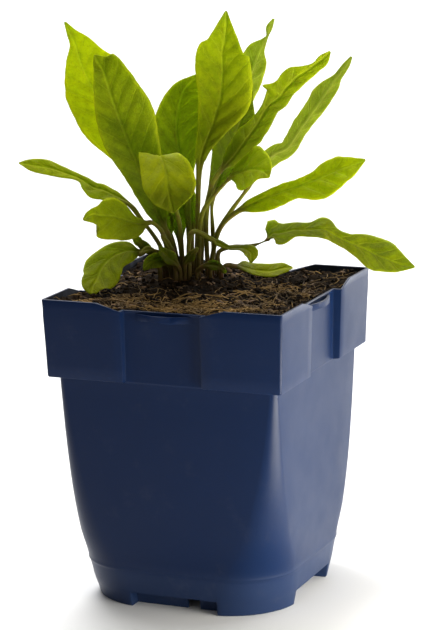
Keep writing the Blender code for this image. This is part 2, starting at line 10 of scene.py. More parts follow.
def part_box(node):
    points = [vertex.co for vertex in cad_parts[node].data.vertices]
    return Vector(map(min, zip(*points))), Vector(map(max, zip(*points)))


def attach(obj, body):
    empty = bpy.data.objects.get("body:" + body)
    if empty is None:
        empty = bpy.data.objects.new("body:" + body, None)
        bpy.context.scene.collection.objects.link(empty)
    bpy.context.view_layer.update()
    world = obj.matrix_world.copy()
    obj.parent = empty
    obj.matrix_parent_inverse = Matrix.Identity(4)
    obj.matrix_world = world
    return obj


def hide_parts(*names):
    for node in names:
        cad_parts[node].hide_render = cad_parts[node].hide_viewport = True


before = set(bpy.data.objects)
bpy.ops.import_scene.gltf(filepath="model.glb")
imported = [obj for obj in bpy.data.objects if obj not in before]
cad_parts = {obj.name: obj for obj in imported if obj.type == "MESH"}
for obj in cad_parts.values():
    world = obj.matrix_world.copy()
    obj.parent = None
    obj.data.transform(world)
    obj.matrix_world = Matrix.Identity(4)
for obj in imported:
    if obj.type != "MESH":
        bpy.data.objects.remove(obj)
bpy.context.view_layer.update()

MM = 0.001
RANDOM = np.random.default_rng(11)

# Where the pot stands, in millimetres, read from the frame
POT_LOW, POT_HIGH = (np.array(corner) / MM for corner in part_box("pot"))
POT_CENTRE = (POT_LOW + POT_HIGH) / 2
POT_AT = (float(POT_CENTRE[0]), float(POT_CENTRE[1]))
RIM_HALF_WIDTH = float(POT_HIGH[0] - POT_LOW[0]) / 2
RIM_HEIGHT = float(POT_HIGH[2])

# Pot sizes in millimetres, as in the part's source
WALL = 1.2
GAP = 0.3
FLOOR_UNDER = 7.6
FLOOR_TOP = 9.2
PANEL_HALF_WIDTH = 18.0
PANEL_DEPTH = 3.8
RIM_DIP = 3.1
RIM_DIP_HALF_WIDTH = 29.5
FOOT_GAP_HALF_WIDTH = 20.0
FOOT_GAP_HEIGHT = 6.5
FOOT_GAP_DEPTH = 6.0
FOOT_WALL = 1.6
SLOT_FROM = 4.0
SLOT_TO = 10.0
SLOT_HEIGHT = 5.4
SLOT_OUT = -40.0
SLOT_CUT = 7.0
DRAIN_RADIUS = 3.5
DRAIN_OUT = 24.0
DRAIN_CUT = 6.0
COLLAR_CORNER = 1.2
INNER_CORNER = 0.8
LEAST_CORNER = 2.0
COLLAR_HALF_WIDTH = 54.8
PANEL_OUT = COLLAR_HALF_WIDTH - PANEL_DEPTH
CORNER_POINTS = 14
LIP_ROUND = 0.4
STEP_TOP = 103.6
STEP_FOOT = 102.6
STEP_HALF_WIDTH = 53.85
STEP_PANEL_DEPTH = 3.45
UNDER_STEP_HALF_WIDTH = 50.3
POT_EDGE_ANGLE = 38.0

# The label tab on each side: a thin strip that bows out of the set-back panel
TAB_FROM = 128.9
TAB_TO = 131.6
TAB_HALF_WIDTH = 13.0
TAB_BOW = 3.2
TAB_THICKNESS = 1.2
TAB_SLOT_HALF_WIDTH = 10.5

# The pot's outer wall: height, half width and corner radius
BODY = (
    (0.0, 46.0, 30.0),
    (FOOT_GAP_HEIGHT - 0.2, 46.9, 28.2),
    (FOOT_GAP_HEIGHT + 0.2, 47.0, 28.0),
    (16.2, 48.0, 25.2),
    (17.2, 48.3, 24.8),
    (18.4, 48.15, 24.2),
    (31.0, 49.2, 19.0),
    (51.0, 49.8, 12.5),
    (76.0, 50.1, 6.8),
    (101.4, 50.35, 3.0),
)

# Soil and the plant's crown in it
CROWN_FROM_POT = (-14.0, 11.0)
PLANT_TURN = radians(22.6)
SOIL_LEVEL = 132.2
SOIL_TOP_DEPTH = 6.0
CORNER_RISE = 1.3
MOUND_HEIGHT = 3.8
MOUND_SPREAD = 20.0
CALM_SPREAD = 13.0
HEAPED_CORNERS = 1.8
SOIL_CELLS = 220
CRUMBS = 1500
FIBRES = 620
CHIPS = 110
BIT_EDGE_ANGLE = 40.0
FIBRE_PATCHES = ((-24.0, -38.0, 8.0), (24.0, -30.0, 8.0), (4.0, -42.0, 7.0), (36.0, 6.0, 10.0))
STALK_FOOT = 125.0
STALK_STRAIGHT_TO = 137.5

# Leaf blade: half thickness, midrib keel below, points across, length of one step
BLADE_HALF = 0.17
KEEL = 0.55
COLUMNS = 25
STEP = 1.0
VEIN_SPACING = 8.5
VEIN_SLANT = 1.25

# Numbers that a leaf's mesh carries for its material, in this order; the last two carry painted shade and
# painted light besides the leaf's own green
CARRIED = ("across", "along", "under", "blade", "edge", "stalk_height", "open", "tone_and_painted_light")

# Photograph's camera, found from the pot's corners, in millimetres from the pot's foot
PHOTO_HEIGHT_PIXELS = 630
FOCAL_PIXELS = 2470.0
SENSOR = 36.0
CAMERA_FROM_POT = (411.6, -977.4, 347.3)
CAMERA_YAW = radians(22.6)
CAMERA_PITCH = radians(12.02)
CAMERA_ROLL = radians(1.0)

# Each leaf by its stations, in millimetres: right of the crown, behind it and above
# the ground as the plant faces the front, then half width left and right of the midrib,
# or one number where both are equal.
# After them: how far the blade folds up along its midrib, how far its margins wave, how
# bright its green is, partly its own tone and partly painted light and shade, and its side direction at
# the base and, where it differs, at the tip.
LEAVES = {
    "leaf_upper_left_back": ((
        (-5, 5, 139, 1.1), (-8, 7, 153, 1), (-15, 11, 169, 1), (-19, 13, 177, 2), (-28, 17, 193, 9.5),
        (-34, 19, 203, 13, 15), (-39, 20, 212, 13, 17), (-43, 21, 220, 12, 17), (-47, 20, 230, 7, 14),
        (-49, 18, 238, 2.5, 8), (-51, 17, 243, 1.5, 3.5), (-53, 16, 248, 0.5),
    ), 0.15, 0.6, 1.0, (1, 0.1, 0.45), (1, -0.1, 0.4)),
    "leaf_upper_left_front": ((
        (-6, -1, 139, 1.1), (-8, -4, 153, 1), (-11, -5, 160, 2), (-14, -6, 167, 4.5, 5.5),
        (-20, -9, 183, 7, 10), (-26, -11, 199, 10, 14), (-29, -12, 208, 10, 15.5), (-32, -12, 217, 8, 14),
        (-36, -11, 230, 4, 9), (-38, -10, 233, 2, 6), (-39, -10, 236, 0.5),
    ), 0.2, 0.7, 0.2, (1, 0.2, 0.4), (1, 0, 0.3)),
    "leaf_centre_tall": ((
        (3, 1, 139, 1.1), (4, 0, 164, 1), (6, 2, 189, 3, 2.5), (11, 4, 202, 6.5, 7),
        (13, 5, 208, 8.5, 11), (15, 6, 215, 10, 13.5), (16, 6, 229, 12, 12.5), (16, 5, 235, 11),
        (17, 4, 239, 8, 7.5), (18, 1, 249, 3, 2), (18, 0, 253, 0.5),
    ), 0.14, 0.7, 0.48, (1, 0.15, 0), (1, -0.1, 0)),
    "leaf_centre_back": ((
        (0, 6, 139, 1.1), (-1, 9, 162, 1), (-2, 12, 173, 3.5, 3), (-3, 14, 184, 9, 6.5),
        (-5, 17, 200, 10.5, 13), (-3, 19, 212, 7.5, 11.5), (-1, 20, 217, 5, 9), (2, 20, 220, 3, 5.5),
        (7, 20, 224, 0.5),
    ), 0.12, 0.5, 0.3, (1, 0.1, 0), (1, 0.1, -0.4)),
    "leaf_right_back_pale": ((
        (5, 7, 139, 1.1), (7, 9, 162, 1), (10, 12, 175, 1), (12, 14, 186, 2), (17, 16, 200, 3.5, 5.5),
        (25, 18, 215, 6, 6.5), (31, 18, 229, 5, 6.5), (33, 17, 234, 2, 5.5), (35, 16, 238, 1, 2),
        (36, 16, 240, 0.6), (37, 15, 244, 1.5), (39, 14, 248, 0.5),
    ), 0.1, 0.5, 0.42, (-0.85, -0.1, 0.5)),
    "leaf_right_folded": ((
        (8, -1, 139, 1.1), (8, -4, 164, 1), (11, -7, 179, 1), (15, -8, 185, 1.5), (19, -8, 189, 4, 3),
        (27, -12, 200, 5.5), (31, -14, 206, 3.5, 5.5), (36, -16, 214, 3.5, 5), (39, -16, 216, 8.5, 5),
        (41, -17, 218, 9, 4.5), (43, -17, 221, 5.5, 4.5), (45, -18, 223, 6, 4.5),
        (48, -18, 226, 5.5, 4.5), (51, -19, 228, 3.5, 4), (55, -20, 231, 1.2, 3.5), (59, -21, 234, 2, 3),
        (62, -22, 237, 0.5),
    ), 0.14, 0.5, 0.36, (0.75, 0.15, -0.65), (0.75, 0.1, -0.65)),
    "leaf_right_long_pale": ((
        (10, 4, 139, 1.1), (12, 6, 153, 1), (19, 8, 164, 1), (26, 10, 173, 1), (31, 12, 181, 3.5),
        (39, 15, 188, 4.5, 4), (44, 16, 190, 4, 3.5), (51, 20, 199, 3.5, 4.5), (58, 22, 208, 4, 5),
        (61, 24, 212, 4, 5.5), (65, 26, 217, 3.5, 4), (67, 27, 220, 2.5, 2), (72, 29, 226, 1.5),
        (74, 30, 229, 0.5),
    ), 0.1, 0.4, 0.5, (-0.75, -0.1, 0.65), (-0.75, 0.1, 0.65)),
    "leaf_right_inner": ((
        (11, 9, 139, 1.1), (10.5, 9, 155, 1), (10.5, 8.5, 168, 1), (14, 8.5, 179, 4.5), (18, 9, 189, 7.5),
        (22, 10, 199, 7.5), (25, 11, 207, 5, 5.5), (27.5, 11, 213, 2), (29, 11, 217, 0.5),
    ), 0.12, 0.5, 0.12, (1, 0.1, -0.45)),
    "leaf_right_small": ((
        (4, -4, 139, 1.1), (6, -6, 165, 1), (11, -8, 173, 1), (18, -11, 181, 1), (20, -13, 183, 3.5, 3),
        (24, -17, 185, 8.5, 7.5), (28, -24, 187, 10.5), (33, -31, 187, 5.5, 6), (35, -34, 185, 0.5),
    ), 0.12, 0.4, 0.5, (-0.3, -0.5, -0.8)),
    "leaf_right_low_bright": ((
        (9, -6, 139, 1.1), (13, -8, 157, 1), (17, -10, 163, 1), (22, -12, 167, 2, 1.5),
        (33, -16, 173, 3, 6.5), (40, -18, 176, 3.5, 7), (47, -22, 179, 3, 6), (54, -25, 182, 3.5, 9.5),
        (60, -28, 185, 6, 10.5), (66, -31, 188, 5.5, 8.5), (71, -33, 190, 3, 5.5), (76, -35, 192, 0.5),
    ), 0.1, 0.6, 0.8, (0.2, -0.55, -0.8)),
    "leaf_right_drooping": ((
        (13, 2, 139, 1.1), (13, 4, 146, 1), (19, 5, 148, 1), (27, 6, 148, 1), (35, 6, 151, 1),
        (37, 6, 153.5, 7.5, 5.5), (39.5, 6, 153.5, 6.5, 7), (42, 6, 154, 5, 7), (47, 6, 155, 4.5),
        (54, 6, 155, 4.5, 5), (60, 6, 155, 7, 6.5), (65, 6, 152, 4, 5), (71, 5, 149, 5),
        (78, 5, 146, 8.5, 8), (84, 4, 143, 10), (89, 3, 141, 9, 8), (94, 3, 139, 5.5, 4.5),
        (100, 2, 138, 0.5),
    ), 0.08, 0.5, 0.12, (0, -0.8, -0.6), (-0.3, -0.7, -0.6)),
    "leaf_front_right_small": ((
        (0, -9, 139, 1.1), (0, -10, 153, 1), (2, -11, 158, 1.5), (13, -13, 153, 2), (18, -14, 151, 1.5),
        (24, -16, 151, 3.5, 3), (27, -17, 149, 4), (27, -18, 145, 0.5),
    ), 0.1, 0.2, 0.3, (0, -0.7, -0.7), (-0.8, -0.5, 0)),
    "leaf_soil_flat": ((
        (14, -3, 139, 1.1), (16, -2, 141, 1), (20, 1, 140, 1.5), (24, 3, 139, 3.5, 2.5), (29, 7, 137, 4),
        (36, 9, 136, 4.5), (42, 10, 137, 3.5), (46, 11, 137, 0.5),
    ), 0.1, 0.2, 0.35, (0, -0.85, -0.5)),
    "leaf_front_arching": ((
        (-3, -5, 139, 1.1), (-4, -8, 161, 1), (-7, -11, 174, 1), (-8, -13, 182, 1.5),
        (-11, -17, 189, 5.5), (-12, -23, 193, 6.5, 8), (-11, -31, 194, 7, 9.5), (-9, -37, 189, 11, 10.5),
        (-8, -41, 183, 12, 10.5), (-7, -43, 177, 9, 7), (-6, -44, 172, 0.5),
    ), 0.08, 1.1, 0.9, (-1, 0, 0)),
    "leaf_left_long": ((
        (-10, 4, 139, 1.1), (-13, 5, 149, 1), (-22, 7, 162, 1), (-25, 8, 166, 1.5), (-30, 9, 170, 4, 2),
        (-34, 10, 172, 6.5, 3), (-38, 10, 174, 6.5, 3), (-42, 10, 175, 7, 3), (-45, 10, 177, 5.5, 3),
        (-48, 10, 179, 2.5), (-57, 8, 183, 4, 3.5), (-62, 6, 185, 4.5, 4), (-70, 2, 187, 3.5, 2.5),
        (-74, 0, 188, 0.5),
    ), 0.08, 0.4, 0.55, (0, 0.8, 0.6), (0, 0.7, 0.7)),
    "leaf_left_broad": ((
        (-8, -5, 139, 1.1), (-10, -7, 151, 1), (-12, -8, 158, 1), (-16, -9, 162, 1),
        (-19, -11, 162, 2.5, 2), (-23, -14, 163, 7, 3), (-28, -17, 165, 10, 6.5),
        (-33, -20, 167, 11, 8.5), (-38, -23, 168, 10.5, 5.5), (-41, -26, 169, 8, 2.5),
        (-43, -27, 168, 3.5, 2), (-45, -28, 167, 0.5),
    ), 0.08, 0.5, 0.42, (0.2, 0.6, 0.7), (0.2, 0.5, 0.8)),
    "leaf_front_left_drooping": ((
        (-11, -1, 139, 1.1), (-14, -4, 148, 1), (-18, -6, 149, 1), (-22, -8, 149, 2.5, 1.5),
        (-26, -10, 150, 6, 5), (-31, -12, 149, 7, 6), (-35, -14, 147, 8.5, 6.5), (-38, -17, 144, 9.5, 8),
        (-40, -21, 140, 9, 6.5), (-42, -25, 137, 6.5, 5), (-42, -28, 134.3, 1.5, 1),
    ), 0.06, 0.5, 0.2, (0, 0.7, 0.7), (-0.95, 0.2, 0.2)),
    "leaflet_left": ((
        (-13, -6, 139, 1.1), (-15, -7, 148, 1), (-17, -9, 150, 2), (-19, -11, 150, 2.5, 2),
        (-22, -13, 148, 0.5),
    ), 0.1, 0.2, 0.3, (0.3, 0.7, 0.6)),
    "leaflet_front": ((
        (-6, -9.5, 139, 1.1), (-7, -10, 149, 1), (-9, -11, 152, 2), (-10, -12, 154, 2),
        (-12, -12, 157, 0.5),
    ), 0.15, 0.2, 0.4, (1, 0.2, 0.3)),
}

# Leaves with painted shade downwards: fully green above, darkest below, share of green left there
SHADED_BELOW = {
    "leaf_front_arching": (188, 178, 0.25),
    "leaf_right_folded": (228, 208, 0.52),
    "leaf_right_inner": (230, 216, 0.45),
    "leaf_centre_back": (212, 188, 0.55),
    "leaf_centre_tall": (215, 190, 0.75),
    "leaf_upper_left_front": (212, 180, 0.7),
}

# Small old leaves low in the tuft, by the same kind of stations
CROWN_LEAVES = (
    ((-7, -7, 139, 0.9), (-9, -9, 143, 1.5), (-13, -12, 146, 3.5, 3), (-17, -14, 145, 3),
     (-20, -15, 142, 0.5)),
    ((-4, -9, 139, 0.9), (-5, -12, 143, 1.3), (-8, -15, 147, 3), (-11, -17, 150, 2.5),
     (-13, -18, 153, 0.5)),
    ((-2, -9, 139, 0.9), (-2, -12, 144, 1.3), (0, -15, 147, 2.6), (2, -17, 150, 2), (4, -18, 152, 0.5)),
    ((3, -7, 139, 0.9), (6, -9, 142, 1.3), (10, -11, 143, 2.6), (14, -13, 142, 2), (16, -14, 140, 0.5)),
    ((-10, -2, 139, 0.9), (-14, -3, 145, 1.3), (-19, -5, 150, 2.6), (-23, -7, 154, 2),
     (-25, -8, 157, 0.5)),
    ((-7, 3, 139, 1), (-9, 5, 150, 1.8), (-11, 6, 160, 4), (-13, 7, 170, 3.5), (-14, 7, 178, 0.5)),
    ((-3, 4, 139, 1), (-4, 7, 150, 1.8), (-5, 8, 162, 4), (-6, 8, 173, 3.5), (-6, 8, 181, 0.5)),
    ((1, 5, 139, 1), (1, 7, 152, 1.6), (1, 8, 162, 3), (1, 8, 170, 2.5), (1, 8, 176, 0.5)),
)


# Materials
class Paint:
    """A procedural material, with short calls for the nodes that it uses."""

    def __init__(self, name):
        self.material = bpy.data.materials.new(name)
        self.material.use_nodes = True
        self.tree = self.material.node_tree
        self.shader = self.tree.nodes["Principled BSDF"]

    def node(self, kind, **settings):
        made = self.tree.nodes.new("ShaderNode" + kind)
        for key, value in settings.items():
            setattr(made, key, value)
        return made

    def put(self, socket, value):
        """Give a socket a number, a colour or another node's output."""
        if isinstance(value, bpy.types.NodeSocket):
            self.tree.links.new(value, socket)
        elif isinstance(value, tuple) and len(value) == 3 and socket.type == "RGBA":
            socket.default_value = (*value, 1.0)
        else:
            socket.default_value = value

    def fill(self, made, *values):
        """Give a node its first inputs in their order."""
        for socket, value in zip(made.inputs, values):
            self.put(socket, value)

    def maths(self, operation, first, second=0.0, third=0.0):
        made = self.node("Math", operation=operation)
        self.fill(made, first, second, third)
        return made.outputs[0]

    def mix(self, share, low, high):
        made = self.node("Mix", data_type="RGBA", clamp_factor=True)
        self.put(made.inputs[0], share)
        self.put(made.inputs[6], low)
        self.put(made.inputs[7], high)
        return made.outputs[2]

    def wash(self, under, over, where, strength):
        """Lay some of a colour over another, where a number says and as strongly."""
        return self.mix(self.maths("MULTIPLY", where, strength), under, over)

    def spread(self, value, low, high, to_low=0.0, to_high=1.0):
        made = self.node("MapRange", interpolation_type="SMOOTHSTEP")
        self.fill(made, value, low, high, to_low, to_high)
        return made.outputs[0]

    def place(self, stretch=(1.0, 1.0, 1.0)):
        """Object coordinates in metres, stretched if a grain needs it."""
        coordinates = self.node("TexCoord").outputs["Object"]
        if stretch == (1.0, 1.0, 1.0):
            return coordinates
        mapping = self.node("Mapping")
        self.put(mapping.inputs["Vector"], coordinates)
        mapping.inputs["Scale"].default_value = stretch
        return mapping.outputs[0]

    def noise(self, scale, detail, vector=None, rough=0.55):
        made = self.node("TexNoise")
        self.put(made.inputs["Vector"], self.place() if vector is None else vector)
        made.inputs["Scale"].default_value = scale
        made.inputs["Detail"].default_value = detail
        made.inputs["Roughness"].default_value = rough
        return made.outputs[0]

    def cell_edges(self, scale, vector):
        made = self.node("TexVoronoi", feature="DISTANCE_TO_EDGE")
        self.put(made.inputs["Vector"], vector)
        made.inputs["Scale"].default_value = scale
        return made.outputs["Distance"]

    def carried(self, name):
        """A number that the mesh carries at each point."""
        return self.node("Attribute", attribute_name=name).outputs["Fac"]

    def bump(self, height, strength, distance):
        made = self.node("Bump")
        made.inputs["Strength"].default_value = strength
        made.inputs["Distance"].default_value = distance
        self.put(made.inputs["Height"], height)
        self.put(self.shader.inputs["Normal"], made.outputs[0])

    def finish(self, colour, roughness, specular):
        self.put(self.shader.inputs["Base Color"], colour)
        self.put(self.shader.inputs["Roughness"], roughness)
        self.shader.inputs["Specular IOR Level"].default_value = specular
        return self.material


def pot_plastic():
    """Satin navy plastic: fine grain, faint flow marks, a little dust, a lighter foot as painted light
    from the floor, and painted shade inside the rim.
    """
    paint = Paint("navy_pot_plastic")
    flow = paint.noise(16.0, 2.0, paint.place((1.0, 1.0, 0.35)))
    colour = paint.mix(flow, (0.0009, 0.0092, 0.0410), (0.0017, 0.0117, 0.0505))
    dust = paint.spread(paint.noise(70.0, 6.0, rough=0.7), 0.54, 0.78)
    height = paint.node("SeparateXYZ")
    paint.put(height.inputs[0], paint.place())
    low = paint.spread(height.outputs[2], 0.0, 0.03, 0.45, 0.12)
    colour = paint.wash(colour, (0.06, 0.065, 0.085), dust, low)
    # Painted light: the foot is made lighter, standing in for light bounced up from the floor.
    painted_foot_light = paint.spread(height.outputs[2], 0.013, 0.022, 0.42, 0.0)
    colour = paint.mix(painted_foot_light, colour, (0.022, 0.037, 0.086))
    # Painted shade: the inner wall above the soil is darkened nearly to black, broken up by noise, and
    # made rougher.
    from_axis = paint.node("VectorMath", operation="SUBTRACT")
    paint.put(from_axis.inputs[0], paint.place())
    from_axis.inputs[1].default_value = (POT_AT[0] * MM, POT_AT[1] * MM, 0.13)
    facing = paint.node("VectorMath", operation="DOT_PRODUCT")
    paint.fill(facing, from_axis.outputs[0], paint.node("NewGeometry").outputs["Normal"])
    inside = paint.spread(facing.outputs["Value"], -0.036, -0.026, 1.0, 0.0)
    inside = paint.maths("MULTIPLY", inside, paint.spread(height.outputs[2], 0.118, 0.122))
    rim_shade_breakup = paint.spread(paint.noise(220.0, 5.0), 0.3, 0.7, 0.55, 0.95)
    inside = paint.maths("MULTIPLY", inside, rim_shade_breakup)
    colour = paint.mix(inside, colour, (0.0040, 0.0038, 0.0040))
    grain = paint.noise(1900.0, 2.0)
    wavy = paint.noise(34.0, 1.0)
    paint.bump(paint.maths("MULTIPLY_ADD", wavy, 1.2, grain), 0.16, 0.00022)
    roughness = paint.spread(paint.noise(55.0, 4.0), 0.3, 0.7, 0.33, 0.41)
    roughness = paint.maths("MULTIPLY_ADD", inside, 0.5, roughness)
    return paint.finish(colour, roughness, 0.16)


def soil_ground():
    """Damp peat: dark brown with fine lighter specks."""
    paint = Paint("damp_peat")
    wide = paint.noise(60.0, 4.0)
    colour = paint.mix(paint.spread(wide, 0.3, 0.7), (0.0032, 0.0021, 0.0012), (0.020, 0.0115, 0.005))
    fleck = paint.spread(paint.noise(620.0, 3.0), 0.60, 0.72)
    colour = paint.mix(fleck, colour, (0.115, 0.066, 0.028))
    paint.bump(paint.noise(900.0, 4.0), 0.6, 0.0006)
    return paint.finish(colour, 0.95, 0.07)


def crumb_peat():
    """Loose crumbs of peat, each a little different."""
    paint = Paint("peat_crumbs")
    each = paint.noise(260.0, 1.0)
    colour = paint.mix(paint.spread(each, 0.35, 0.65), (0.0045, 0.0029, 0.0015), (0.034, 0.019, 0.008))
    fine = paint.spread(paint.noise(1500.0, 3.0), 0.5, 0.75)
    colour = paint.wash(colour, (0.07, 0.045, 0.022), fine, 0.4)
    paint.bump(paint.noise(1700.0, 3.0), 0.5, 0.0004)
    return paint.finish(colour, 0.93, 0.08)


def coir_fibre():
    """Tan coconut fibres, from straw to rusty brown."""
    paint = Paint("coir_fibres")
    each = paint.noise(85.0, 2.0)
    colour = paint.mix(paint.spread(each, 0.32, 0.68), (0.034, 0.015, 0.005), (0.31, 0.175, 0.042))
    fine = paint.noise(1100.0, 2.0)
    colour = paint.mix(paint.spread(fine, 0.35, 0.75, 0.0, 0.5), colour, (0.36, 0.24, 0.085))
    return paint.finish(colour, 0.8, 0.3)


def wood_chip():
    """Small flat bits of bark and wood in the mix."""
    paint = Paint("bark_bits")
    grain = paint.noise(420.0, 4.0, paint.place((1.0, 0.3, 1.0)))
    colour = paint.mix(paint.spread(grain, 0.35, 0.65), (0.028, 0.014, 0.007), (0.17, 0.095, 0.042))
    paint.bump(grain, 0.5, 0.0004)
    return paint.finish(colour, 0.85, 0.3)


def leaf_skin():
    """Leaf surface: midrib, side veins and fine net, paler underneath, olive to brown stalk; painted
    highlights between veins and painted light and shade in its green.
    """
    paint = Paint("leaf_skin")
    across, along, under, blade, edge, stalk_share, unshaded, tone_and_painted_light = map(paint.carried, CARRIED)
    out = paint.maths("ABSOLUTE", across)

    flat = paint.node("CombineXYZ")
    paint.fill(flat, across, along, tone_and_painted_light)
    plane = flat.outputs[0]

    wobble = paint.noise(0.16, 2.0, plane)
    slope = paint.maths("MULTIPLY_ADD", wobble, 2.4, along)
    slope = paint.maths("SUBTRACT", slope, paint.maths("MULTIPLY", out, VEIN_SLANT))
    from_vein = paint.maths("PINGPONG", slope, VEIN_SPACING / 2)
    side_vein = paint.spread(from_vein, 0.12, 0.55, 1.0, 0.0)
    midrib = paint.spread(out, 0.3, 0.85, 1.0, 0.0)
    vein = paint.maths("MAXIMUM", midrib, paint.maths("MULTIPLY", side_vein, 0.75))
    net = paint.spread(paint.cell_edges(0.85, plane), 0.02, 0.12, 1.0, 0.0)
    vein = paint.maths("MAXIMUM", vein, paint.maths("MULTIPLY", net, 0.32))

    patch = paint.spread(paint.noise(0.11, 4.0, plane), 0.3, 0.7)
    # Each leaf's green from deep to bright: partly the leaf's own tone, partly painted light and shade for
    # how the leaf is lit.
    deep = paint.mix(patch, (0.066, 0.079, 0.0006), (0.110, 0.127, 0.0008))
    bright = paint.mix(patch, (0.335, 0.366, 0.0006), (0.450, 0.486, 0.0010))
    top = paint.mix(tone_and_painted_light, deep, bright)
    top = paint.wash(top, (0.40, 0.44, 0.025), vein, 0.26)
    # Painted highlight: lighter green on the swollen tissue between the side veins, where the crinkles
    # catch the light.
    between = paint.maths("MULTIPLY", paint.spread(from_vein, 0.8, 3.4), paint.spread(wobble, 0.42, 0.62))
    top = paint.wash(top, (0.34, 0.39, 0.001), between, 0.22)
    dapple = paint.spread(paint.noise(0.3, 2.0, plane), 0.45, 0.68)
    top = paint.wash(top, (0.050, 0.062, 0.0008), dapple, 0.17)
    mottle = paint.spread(paint.noise(0.9, 3.0, plane), 0.5, 0.74)
    top = paint.wash(top, (0.055, 0.072, 0.001), mottle, 0.25)
    pale = paint.mix(patch, (0.132, 0.152, 0.008), (0.205, 0.232, 0.017))
    pale = paint.wash(pale, (0.34, 0.37, 0.05), vein, 0.35)
    green = paint.mix(under, top, pale)
    green = paint.wash(green, (0.32, 0.36, 0.01), edge, 0.3)
    # Painted shade: green darkened deep in the tuft and low on leaves that hang in their neighbours'
    # shade.
    green = paint.mix(unshaded, (0.024, 0.031, 0.0005), green)
    stalk = paint.mix(stalk_share, (0.050, 0.026, 0.010), (0.16, 0.165, 0.014))
    reddish = paint.spread(paint.noise(0.35, 3.0, plane), 0.45, 0.7, 0.0, 0.45)
    stalk = paint.mix(reddish, stalk, (0.14, 0.06, 0.03))
    colour = paint.mix(blade, stalk, green)

    quilt = paint.maths("MULTIPLY_ADD", vein, -1.0, paint.noise(1.6, 2.0, plane))
    paint.bump(quilt, 0.5, 0.0005)
    shader = paint.shader
    shader.inputs["Subsurface Weight"].default_value = 0.3
    shader.inputs["Subsurface Radius"].default_value = (0.7, 1.0, 0.1)
    shader.inputs["Subsurface Scale"].default_value = 0.0022
    return paint.finish(colour, paint.spread(patch, 0.0, 1.0, 0.46, 0.6), 0.045)


def plain_floor():
    paint = Paint("pale_floor")
    tone = paint.mix(paint.noise(3.0, 2.0), (0.86, 0.86, 0.86), (0.88, 0.88, 0.88))
    return paint.finish(tone, 0.85, 0.2)


# Numbers
def held(value):
    """A number kept between 0 and 1."""
    return max(0.0, min(1.0, value))


def softened(share):
    """A share from 0 to 1 that starts and ends gently."""
    return share * share * (3 - 2 * share)


# Meshes
def in_scene(name, data):
    made = bpy.data.objects.new(name, data)
    bpy.context.scene.collection.objects.link(made)
    return made


def make_object(name, points, faces, material, smooth_angle):
    mesh = bpy.data.meshes.new(name)
    mesh.from_pydata([tuple(p) for p in points], [], faces)
    if material:
        mesh.materials.append(material)
    mesh.validate()
    mesh.shade_smooth()
    if smooth_angle:
        mesh.set_sharp_from_angle(angle=radians(smooth_angle))
    return in_scene(name, mesh)


class Heap:
    """Many small bits gathered into the points and faces of one mesh."""

    def __init__(self):
        self.points = []
        self.faces = []

    def add(self, points, faces):
        first = len(self.points)
        self.points += [tuple(p) for p in points]
        self.faces += [tuple(first + index for index in face) for face in faces]

    def lay(self, name, material, smooth_angle):
        """Make the bits one piece that lies on the soil."""
        piece = make_object(name, np.array(self.points) * MM, self.faces, material, smooth_angle)
        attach(piece, "root")


def ring_faces(rings, count):
    """Four-sided faces between rings that follow each other, with as many points in each."""
    faces = []
    for ring in range(rings - 1):
        for i in range(count):
            a = ring * count + i
            b = ring * count + (i + 1) % count
            faces.append((a, b, b + count, a + count))
    return faces


def tube(path, radii, sides):
    """A closed tube along a path with a radius at each of its points."""
    path = np.array(path, float)
    ahead = np.gradient(path, axis=0)
    ahead /= np.linalg.norm(ahead, axis=1)[:, None] + 1e-9
    points = []
    for place, direction, radius in zip(path, ahead, radii):
        side = np.cross(direction, (0.13, 0.21, 0.97))
        side /= np.linalg.norm(side) + 1e-9
        up = np.cross(side, direction)
        for k in range(sides):
            angle = 2 * pi * k / sides
            points.append(place + radius * (cos(angle) * side + sin(angle) * up))
    faces = [tuple(range(sides))] + [(a, d, c, b) for a, b, c, d in ring_faces(len(path), sides)]
    last = len(points) - sides
    faces.append(tuple(range(last + sides - 1, last - 1, -1)))
    return points, faces


# Pot
def spun(x, y, turn):
    """A place turned about the upright axis."""
    return x * cos(turn) - y * sin(turn), x * sin(turn) + y * cos(turn)


def eased(x, knots, values):
    """A smooth curve through rising knots that never overshoots its values."""
    knots = np.array(knots, float)
    values = np.array(values, float)
    slopes = np.diff(values) / np.diff(knots)
    tangents = np.zeros(len(knots))
    tangents[0] = slopes[0]
    tangents[-1] = slopes[-1]
    for i in range(1, len(knots) - 1):
        if slopes[i - 1] * slopes[i] > 0:
            tangents[i] = 2 * slopes[i - 1] * slopes[i] / (slopes[i - 1] + slopes[i])
    i = int(np.clip(np.searchsorted(knots, x) - 1, 0, len(knots) - 2))
    span = knots[i + 1] - knots[i]
    t = (x - knots[i]) / span
    return float(
        values[i] * (1 + 2 * t) * (1 - t) ** 2 + tangents[i] * span * t * (1 - t) ** 2
        + values[i + 1] * t * t * (3 - 2 * t) + tangents[i + 1] * span * t * t * (t - 1))


def body_size(height):
    """Half width and corner radius of the outer wall at a height."""
    heights, halves, corners = zip(*BODY)
    return eased(height, heights, halves), eased(height, heights, corners)


def outline_depth(across, half, corner):
    """How far out a rounded square reaches at a place along its side."""
    past = abs(across) - (half - corner)
    if past <= 0.0:
        return half
    return half - corner + sqrt(max(0.0, corner * corner - past * past))


